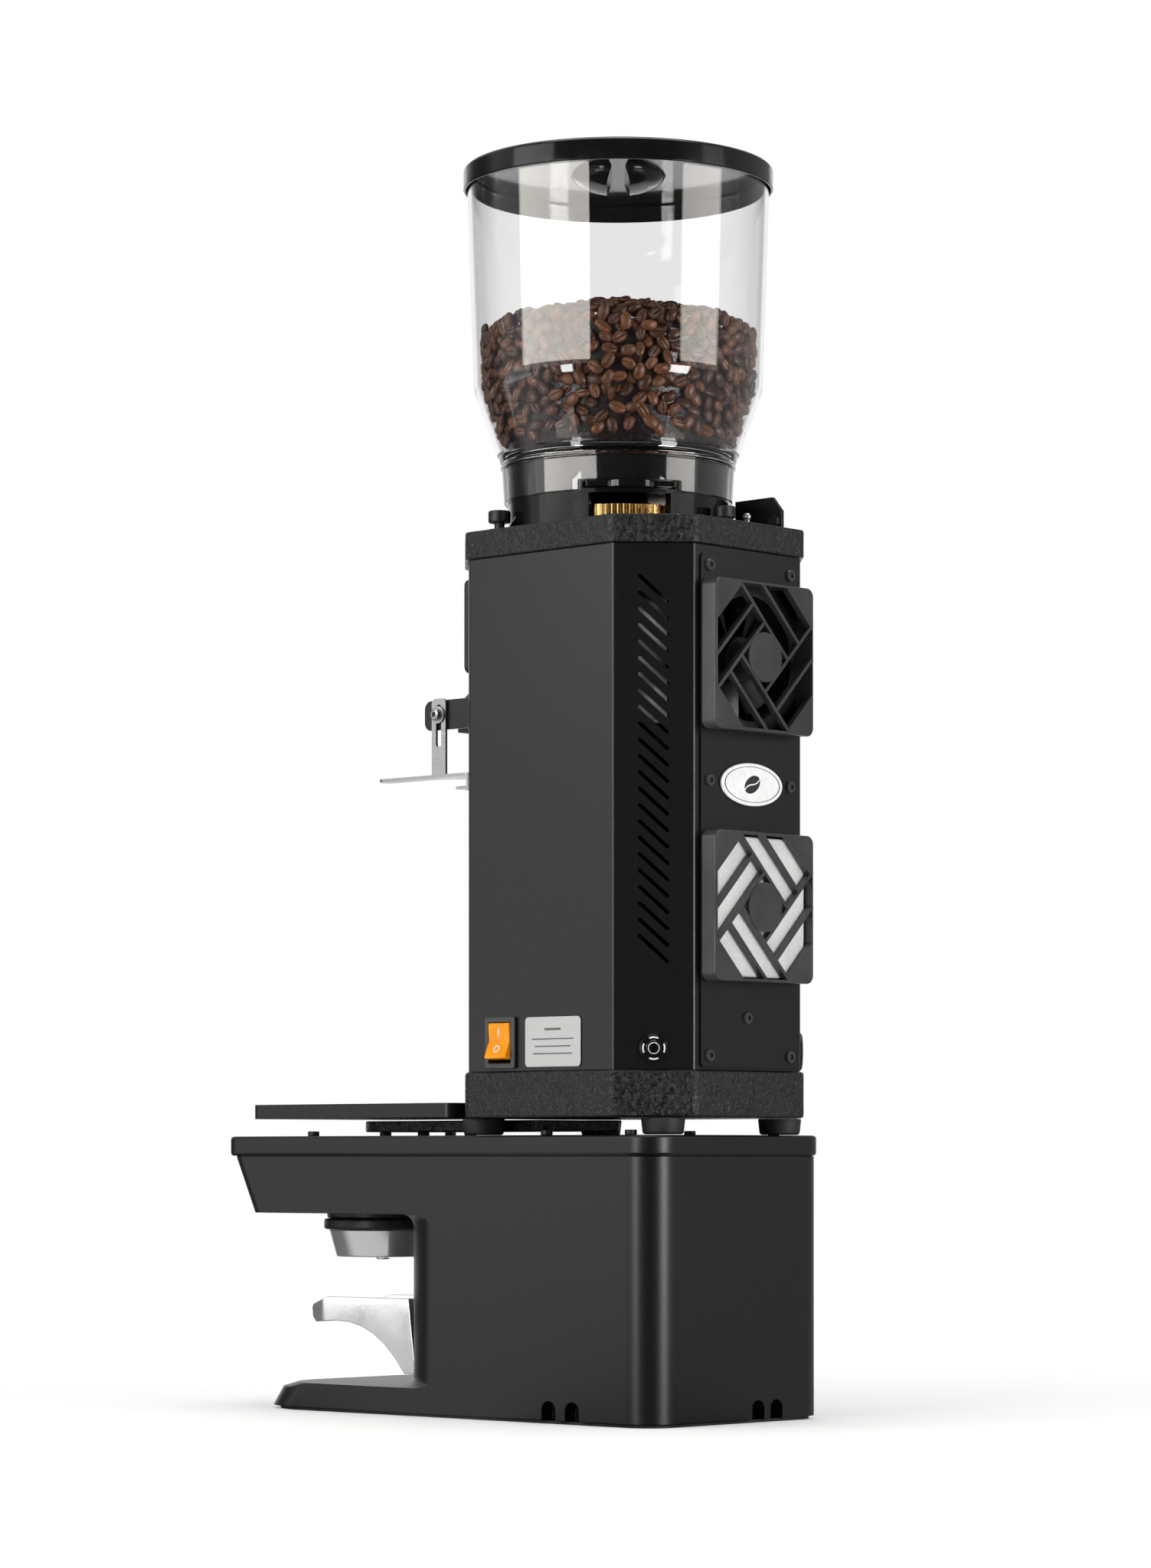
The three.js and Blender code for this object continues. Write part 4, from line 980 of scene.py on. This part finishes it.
def collar():
    low, top = COLLAR_LOW[2], COLLAR_HIGH[2]
    r = COLLAR_RADIUS
    profile = [(57.5, low), (r - 1.4, low), (r - 1.2, low + 0.2), (r, top - 1), (r - 1, top), (58.2, top),
               (57.5, top - 0.7)]
    ring = lathe("collar_look", profile, 160)
    fuse(ring, rod("deck", 58.5, 535.5, 544.5, 160), *(screw_tab(x, y, low) for x, y in SCREW_SPOTS.values()))
    cut(ring, rod("throat", 22, 530, 550, 64))
    window = prism("window", [(40, -17), (75, -29), (75, 29), (40, 17)], 510, 534.6)
    slot = block("slot", (-32, -27, 537.2), (75, 27, 541))
    cut(ring, turned(window, 0, 0, COLLAR_TURN), turned(slot, 0, 0, COLLAR_TURN))
    cut(ring, block("worm_slot", (-75, -29, 510), (-50, 29, 533)))
    return smooth(tidy_mesh(ring), 25)


def knurled(name, radius, bottom, top, rim=0.6, around=72, up=10):
    """A knob with a diamond knurl on its side."""
    side = top - bottom - 2 * rim
    rows = [(radius - rim, bottom, 0.0)]
    rows += [(radius, bottom + rim + side * i / up, KNURL_DEPTH) for i in range(up + 1)]
    rows += [(radius - rim, top, 0.0)]
    rings = []
    for k, (r, z, dent) in enumerate(rows):
        ring = [(r - dent * ((i + k + 1) % 2), 2 * math.pi * i / around) for i in range(around)]
        rings.append([(reach * math.cos(turn), reach * math.sin(turn), z) for reach, turn in ring])
    return smooth(mesh_piece(name, *pointed_rings((0, 0, bottom), rings, (0, 0, top))), 20)


def worm_shaft(x, z):
    """Plain shaft with one helical thread beside the gear."""
    root, tip, pitch, turns, steps = 4.6, 5.9, 3.5, 7, 32
    section = ((2.5, -1.3), (root, -1.1), (tip, -0.35), (tip, 0.35), (root, 1.1), (2.5, 1.3))
    rings = []
    for i in range(turns * steps + 1):
        turn = 2 * math.pi * i / steps
        rise = pitch * i / steps - pitch * turns / 2
        rings.append([(r * math.cos(turn), r * math.sin(turn), rise + dz) for r, dz in section])
    parts = [rod("shaft", 3, -66, 86), skin("thread", rings), rod("core", root, -15, 15)]
    return smooth(moved(joined("worm_shaft_look", parts), (x, 0, z), (90, 0, 0)), 40)


def build_adjuster():
    place(gear(), BRASS, "adjuster", "brass", "adjustment_gear")
    place(collar(), GLOSS, "frame", "gloss_black", "collar")
    for spot, (x, y) in SCREW_SPOTS.items():
        node = f"thumbscrew_{spot}"
        head = knurled("head", 6.5, 522.6, 529.5)
        neck = smooth(rod("neck", 3, span(node)[0][2], 522.7, 32), 30)
        place(moved(joined(f"{node}_look", [head, neck]), (x, y, 0)), MATT, node, "plastic_black", node)
    low, high = span("worm_knob")
    x, _, z = centre("worm_knob")
    knob = moved(knurled("worm_knob_look", 13, -high[1], -low[1], 1.0, 96, 16), (x, 0, z), (90, 0, 0))
    place(knob, MATT, "worm", "plastic_black", "worm_knob")
    place(worm_shaft(x, z), STEEL, "worm", "steel", "worm_shaft")
    place_cad("worm_bracket", SHEET_BLACK, "frame", "satin_black", 0.5, 2)
    place_cad("worm_bearing", SHEET_BLACK, "frame", "satin_black", 0.5, 2)
    place_cad("hopper_gate", GLOSS, "gate", "plastic_black", 0.7, 3)
    high = span("worm_bracket")[1]
    nut = moved(rod("bracket_nut", 3.8, 0.02, 3.2, 6), (high[0], high[1] - 4.4, 525), (0, 90, 0))
    base = CAP_HIGH[2] + 0.05
    profile = [(0, base), (1.5, base), (1.5, 524.8), *arc(0, 526.6, 2.3, -45, 75, 8), (0, 528.9)]
    pin = moved(lathe("index_pin", profile, 32), (-38, 67.4, 0))
    place(smooth(nut, 30), MATT, "frame", "plastic_black")
    place(smooth(pin, 50), CHROME, "frame", "chrome")


# ---------------- hopper, beans and lid
BOWL_OUTSIDE = ((68.9, 559.0), (84.8, 603.0), (88.9, HOPPER_HIGH[2]))
NECK_RADIUS = 68.2
BOWL_WALL = 2.6
BOWL_FLOOR = 560.6
LID_RADIUS = 91.0
LID_SKIRT = 720
# Inset from the wall, tries and least gap of the beans at the wall, then radius, tries and gap on top.
BEAN_LAYERS = ((3.9, 12000, 6.3), (8.4, 6000, 6.6))
TOP_LAYER = (78, 6000, 6.4)
BEAN_HEIGHTS = (571.5, 648)
HEAP_DROP = 12.0
HEAP_RISE = 17.0
HEAP_RADIUS = 82
CREASE_OUTWARD = 0.62
BEAN_LEAN = 0.25
BEAN_SIZES = (0.95, 1.18)
CELL = 8


def bowl_radius(z):
    """Inner radius of the hopper at a height."""
    (r0, z0), (r1, z1), (r2, z2) = BOWL_OUTSIDE
    if z < z1:
        return r0 + (r1 - r0) * (z - z0) / (z1 - z0) - BOWL_WALL - 0.2
    return r1 + (r2 - r1) * (z - z1) / (z2 - z1) - BOWL_WALL


def hopper():
    low = HOPPER_LOW[2]
    r1, z1 = BOWL_OUTSIDE[1]
    r2, z2 = BOWL_OUTSIDE[2]
    r = NECK_RADIUS
    neck = [(r - 2.2, low), (r - 1.5, low), (r - 1.2, low + 0.4), (r, 555.6), (r + 0.9, 556.6),
            (r + 0.9, 557.8), (r + 0.2, 558.8), (r + 0.9, 559.8), (r + 1.5, 561.2), (r + 1.7, 563.6),
            (r + 3.0, 564.6)]
    knee = [(r1 - 1.6, z1 - 4.6), (r1 - 0.5, z1 - 1.5), (r1 + 0.05, z1 + 1.5), (r1 + 0.2, z1 + 5)]
    rim = [(r2 - 0.05, z2 - 0.6), (r2 - 0.5, z2), (r2 - 2.2, z2), (r2 - 2.6, z2 - 0.6)]
    inner_knee = [(r1 - 2.5, z1 + 5), (r1 - 2.65, z1 + 1.7), (r1 - 3.2, z1 - 1.2), (r1 - 4.3, z1 - 4.4)]
    base = [(67.7, 564.4), (66.0, 561.9), (63.5, BOWL_FLOOR), (24, 559.8), (24, 558), (r - 3.1, 558),
            (r - 2.2, 557.1)]
    bowl = lathe("hopper_look", neck + knee + rim + inner_knee + base, 160)
    cut(bowl, turned(block("notch", (55, -30, low - 1), (80, 30, 542.1)), 0, 0, COLLAR_TURN))
    return smooth(bowl, 30)


def bean_mesh(length=4.4, width=3.15, dome=2.5, flat=1.5):
    """Oval bean with a narrow crease along its flatter side, as verts and faces about the origin."""
    around = (-90, -79, -58, -20, 25, 65, 115, 155, 200, 238, 259)
    steps = 8
    rings = []
    for i in range(1, steps):
        angle = math.pi * i / steps
        girth = math.sin(angle) ** 0.8
        ring = []
        for degrees in around:
            turn = math.radians(degrees)
            y = width * math.cos(turn) * girth
            z = math.sin(turn) * (dome if math.sin(turn) > 0 else flat) * girth
            if degrees == -90:
                z += 0.75 * girth
                y += 0.35 * math.sin(2 * angle)
            ring.append((-length * math.cos(angle), y, z))
        rings.append(ring)
    return pointed_rings((-length, 0, 0), rings, (length, 0, 0))


class Heap:
    """Collects beans that keep their distance, and makes them into meshes by roast."""

    def __init__(self, seed):
        self.dice = random.Random(seed)
        self.cells = {}
        self.beans = []

    def free(self, spot, gap):
        near = itertools.product(*([int(v // CELL) + step for step in (-1, 0, 1)] for v in spot))
        return all((spot - other).length >= gap for key in near for other in self.cells.get(key, ()))

    def add(self, spot, outward, gap):
        if self.free(spot, gap):
            self.cells.setdefault(tuple(int(v // CELL) for v in spot), []).append(spot)
            self.beans.append((spot, outward))

    def make(self, name, share):
        """One mesh of every third bean, each turned by chance with its crease mostly outward."""
        verts, faces = bean_mesh()
        shape = [Vector(v) for v in verts]
        points, polygons = [], []
        for spot, outward in self.beans[share::len(BEANS)]:
            face_out = outward if self.dice.random() < CREASE_OUTWARD else -outward
            lean = Vector([self.dice.gauss(0, BEAN_LEAN) for _ in range(3)])
            turn = Vector((0, 0, 1)).rotation_difference((face_out + lean).normalized()).to_matrix()
            spin = Matrix.Rotation(self.dice.uniform(0, 2 * math.pi), 3, "Z")
            size = self.dice.uniform(*BEAN_SIZES)
            first = len(points)
            points += [tuple(spot + turn @ spin @ v * size) for v in shape]
            polygons += [tuple(first + i for i in face) for face in faces]
        return smooth(mesh_piece(name, points, polygons), 70)


def heap_top(x, y):
    """Height of the beans' surface: level, a little heaped and uneven."""
    heaped = HEAP_RISE * (1 - (math.hypot(x, y) / HEAP_RADIUS) ** 2)
    return BEAN_TOP - HEAP_DROP + heaped + 1.2 * math.sin(x * 0.09 + 1) * math.cos(y * 0.08)


def build_beans():
    heap = Heap(7)
    dice = heap.dice
    for inset, tries, gap in BEAN_LAYERS:
        for _ in range(tries):
            z = dice.uniform(*BEAN_HEIGHTS)
            turn = dice.uniform(0, 2 * math.pi)
            r = bowl_radius(z) - inset - dice.uniform(0, 1.0)
            outward = Vector((math.cos(turn), math.sin(turn), 0))
            spot = Vector((r * math.cos(turn), r * math.sin(turn), z))
            if z <= heap_top(spot.x, spot.y):
                heap.add(spot, outward, gap)
    reach, tries, gap = TOP_LAYER
    for _ in range(tries):
        turn, r = dice.uniform(0, 2 * math.pi), reach * math.sqrt(dice.random())
        x, y = r * math.cos(turn), r * math.sin(turn)
        heap.add(Vector((x, y, heap_top(x, y) + dice.uniform(-0.8, 0.8))), Vector((0, 0, 1)), gap)
    # A solid core fills the heap under the beans and carries the painted shade of the gaps between them.
    core = [(0, 562.5), (60, 562.5), (62.5, 565), (68, 580), (73, 603), (75, 628), (60, 634), (0, 638)]
    place(smooth(lathe("bean_core", core, 48), 60), BEAN_GAP_SHADE, "hopper", "coffee_beans", "bean_fill")
    for i, name in enumerate(("beans_dark", "beans_medium", "beans_light")):
        place(heap.make(name, i), BEANS[i], "hopper", "coffee_beans")


def drafted_bar(grow):
    """The lid's grip bar, which widens downward as its moulding draft needs."""
    half = 4.5 + grow
    right = [(700, half + 4), (LID_TOP - 11, half + 3), (LID_TOP - 3, half), (745, half)]
    outline = [(-z, y) for z, y in right] + [(-z, -y) for z, y in reversed(right)]
    return turned(prism("bar", outline, -40, 40), 0, 90, 0)


def lid_well(grow, base):
    """Round bowl that is sunk into the lid to a base height."""
    edge = LID_TOP - 3
    bends = [math.radians(9 * i) for i in range(11)]
    bowl = [((26 + grow) * math.sin(a), edge - (edge - base) * math.cos(a)) for a in bends]
    return lathe("well", bowl + [(27 + grow, LID_TOP + 1 - grow), (0, LID_TOP + 1 - grow)], 72)


def lid():
    r, top, skirt = LID_RADIUS, LID_TOP, LID_SKIRT
    deck = top - 4
    profile = [(0, deck), (89.3, deck), (89.4, skirt + 0.4), (89.7, skirt), (r - 0.7, skirt),
               (r, skirt + 0.7), (r, top - 2.8), (r - 0.5, top - 1.6), (r - 1.6, top - 0.7),
               (r - 4, top - 0.15), (r - 7, top), (0, top)]
    cover = lathe("lid_look", profile, 160)
    lobes = cut(lid_well(2, top - 15), drafted_bar(-1), block("over", (-50, -50, deck + 0.6), (50, 50, 760)))
    fuse(cover, lobes)
    cut(cover, cut(lid_well(0, top - 13), drafted_bar(1)))
    return soften(turned(cover, 0, 0, GRIP_TURN), 0.7, 3, 40)


def build_hopper():
    place(hopper(), CLEAR, "hopper", "clear_plastic", "hopper")
    build_beans()
    place(lid(), GLOSS, "lid", "gloss_black", "lid")


# ---------------- fork and controls
def build_fork():
    place_cad("fork_bracket", SHEET_BLACK, "frame", "satin_black", 0.35, 2)
    place_cad("portafilter_fork", STAINLESS, "fork", "stainless", 0.3, 2)
    for side, lean in (("right", 90), ("left", -90)):
        node = f"fork_screw_{side}"
        inner, outer = sorted(abs(corner[0]) for corner in span(node))
        _, y, z = centre(node)
        profile = [(0, inner), (1.9, inner), (1.9, outer - 4), (5.2, outer - 4), (5.2, outer - 3.2),
                   (3.6, outer - 3.1), (3.6, outer - 0.9), (3.2, outer - 0.3), (2.4, outer), (0, outer)]
        screw = lathe(f"{node}_look", profile, 48)
        cut(screw, rod("socket", 1.7, outer - 2, outer + 3, 6))
        place(moved(smooth(screw, 35), (0, y, z), (0, lean, 0)), STEEL, node, "steel", node)
    place_cad("spout", MATT, "frame", "plastic_black", 0.8, 3)


def build_controls():
    place_cad("control_panel", MATT, "frame", "gloss_black", 0.8, 3)
    glass = prism("display_window", soft_rectangle(-34, 34, 463, 489, 2.5, 6), 0, 0.2)
    front = span("control_panel")[0][1]
    place(moved(glass, (0, front + 0.18, 0), (90, 0, 0)), DISPLAY, "frame", "gloss_black")
    for dose, offsets in (("single", (0,)), ("double", (-1.8, 1.8))):
        node = f"{dose}_dose_button"
        low, high = span(node)
        x, _, z = centre(node)
        button = round_button(f"{node}_look", 6.6, -high[1], -low[1], 0.6, 48)
        place(smooth(moved(button, (x, 0, z), (90, 0, 0)), 40), STEEL, f"{dose}_button", "steel", node)
        for i, offset in enumerate(offsets):
            dot = rod(f"{dose}_dose_mark_{i + 1}", 1.1, -low[1] - 0.02, -low[1], 24)
            place(moved(dot, (x + offset, 0, z), (90, 0, 0)), DARK_INK, f"{dose}_button", "steel")


def finish_hidden():
    """Inner nodes keep their CAD shape and get a finish of their own; the aluminium one is darkened as
    painted shade.
    """
    finishes = {
        "tamper_motor": STEEL, "tamper_gearbox": ALUMINIUM_PAINTED_SHADE, "piston_spindle": MATT,
        "grinder_motor": ALUMINIUM_PAINTED_SHADE, "motor_shaft": STEEL, "lower_burr": STEEL, "upper_burr": STEEL,
        "burr_chamber": ALUMINIUM_PAINTED_SHADE,
    }
    for node, material in finishes.items():
        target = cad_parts[node]
        target.data.materials.clear()
        target.data.materials.append(material)


# ---------------- studio
LEFT_GLOW = 0.5
DARK_GLOW = 0.035
FLOOR_LIFT = 0.25
DARK_SIDE = (math.cos(math.radians(-84)), math.sin(math.radians(-84)), 0)
PLAIN = (1, 1, 1)
WARM = (1.0, 0.965, 0.9)
# Name, degrees round from +X, distance, width, lowest and highest edge in metres, brightness, colour.
PANELS = (
    ("side_card", -45, 2.2, 1.0, 0.2, 0.7, 0.42, PLAIN),
    ("low_card", -47, 2.2, 1.3, 0.0, 0.2, 1.1, PLAIN),
    ("left_strip", 2, 1.8, 0.3, 0.0, 0.6, 12.0, PLAIN),
    ("right_strip", 92, 1.8, 0.5, 0.0, 0.6, 14.0, PLAIN),
    ("left_low", -14, 1.8, 2.3, 0.6, 0.78, 0.7, PLAIN),
    ("right_low", 110, 1.8, 1.1, 0.6, 0.78, 0.6, PLAIN),
    ("left_window", -8, 1.8, 2.0, 0.79, 1.06, 6.0, WARM),
    ("right_window", 109, 1.8, 1.1, 0.79, 1.06, 4.5, WARM),
    ("left_high", -22, 1.8, 1.1, 1.06, 1.35, 1.4, PLAIN),
    ("right_high", 116, 1.8, 0.6, 1.06, 1.35, 0.6, PLAIN),
)


def softbox(name, spot, target, width, height, power, color):
    data = bpy.data.lights.new(name, "AREA")
    data.shape = "RECTANGLE"
    data.size = width
    data.size_y = height
    data.energy = power
    data.color = color
    light = shown(name, data)
    light.location = spot
    light.rotation_euler = (Vector(target) - Vector(spot)).to_track_quat("-Z", "Y").to_euler()


def side_glow(tree, direction):
    """Brightness along a direction: dark round the camera and on one side, and white straight behind."""
    dots = []
    for axis in (TOWARD_CAMERA, CAMERA_RIGHT, DARK_SIDE):
        dot = add_node(tree, "VectorMath", {0: direction, 1: axis}, "DOT_PRODUCT")
        dots.append(dot.outputs["Value"])
    ramps = (
        (dots[0], 0.3, 0.74, LEFT_GLOW, DARK_GLOW),
        (dots[1], -0.2, 0.4, 1.0, 0.6),
        (dots[2], 0.88, 0.98, 1.0, 0.1),
        (dots[0], -0.92, -0.8, 1.0, 0.0),
    )
    levels = [map_range(tree, *ramp, "SMOOTHSTEP") for ramp in ramps]
    dimmed = math_node(tree, "MULTIPLY", math_node(tree, "MULTIPLY", *levels[:2]), levels[2])
    return math_node(tree, "MAXIMUM", dimmed, levels[3])


def sky():
    world = bpy.data.worlds.new("studio")
    scene.world = world
    world.use_nodes = True
    tree = world.node_tree
    direction = tree.nodes.new("ShaderNodeTexCoord").outputs["Generated"]
    rays = tree.nodes.new("ShaderNodeLightPath")
    level = math_node(tree, "MAXIMUM", side_glow(tree, direction), rays.outputs["Is Camera Ray"])
    back = tree.nodes["Background"]
    back.inputs["Color"].default_value = (1, 1, 1, 1)
    tree.links.new(level, back.inputs["Strength"])


def white_floor():
    """A lit white floor round the part that fades into plain white further out."""
    floor = lathe("floor", [(0, -1.0), (9000, -1.0), (9000, -0.02), (0, -0.02)])
    look = Look("floor_white", grey(0.9), 0.8, Specular_IOR_Level=0.0)
    look.tones(look.noise(3, 3), grey(0.88), grey(0.92))
    tree = look.tree
    rays = tree.nodes.new("ShaderNodeLightPath")
    seen = rays.outputs["Is Camera Ray"]
    distance = add_node(tree, "VectorMath", {0: look.place}, "LENGTH").outputs["Value"]
    fade = map_range(tree, distance, 0.36, 0.8, 0.0, 1.0)
    white = add_node(tree, "Emission", {"Strength": 1.02}).outputs["Emission"]
    lift = add_node(tree, "Emission", {"Strength": math_node(tree, "MULTIPLY", seen, FLOOR_LIFT)})
    lit = add_node(tree, "AddShader", {0: look.shader.outputs["BSDF"], 1: lift.outputs["Emission"]})
    way = add_node(tree, "VectorMath", {0: look.place}, "NORMALIZE").outputs["Vector"]
    mirrored = add_node(tree, "Emission", {"Strength": side_glow(tree, way)}).outputs["Emission"]
    direct = look.mixed(math_node(tree, "MULTIPLY", fade, seen), lit.outputs["Shader"], white)
    share = math_node(tree, "MULTIPLY", rays.outputs["Is Glossy Ray"], 0.98)
    look.shown_by(look.mixed(share, direct, mirrored))
    floor.data.materials.append(look.material)


def studio():
    white_floor()
    sky()
    for name, azimuth, distance, width, low, high, glow, color in PANELS:
        turn = math.radians(azimuth)
        x, y, z = distance * math.cos(turn), distance * math.sin(turn), (low + high) / 2
        softbox(name, (x, y, z), (0, 0, z), width, high - low, glow * math.pi * width * (high - low), color)
    softbox("top_box", (0, 0, 2.4), (0, 0, 0.42), 1.6, 1.6, 22, PLAIN)
    reach, size = 0.85, 0.4
    for name, azimuth, glow in (("left_floor", -12, 2.4), ("right_floor", 104, 1.6)):
        x, y = reach * math.cos(math.radians(azimuth)), reach * math.sin(math.radians(azimuth))
        softbox(name, (x, y, 0.01), (x, y, 1.0), size, size, glow * math.pi * size * size, WARM)
    scene.view_settings.view_transform = "Standard"


photo_camera()
build_tamper()
build_grinder_body()
build_fans()
build_screws()
build_switch()
build_label()
build_badge()
build_corner_fittings()
build_adjuster()
build_hopper()
build_fork()
build_controls()
finish_hidden()
studio()
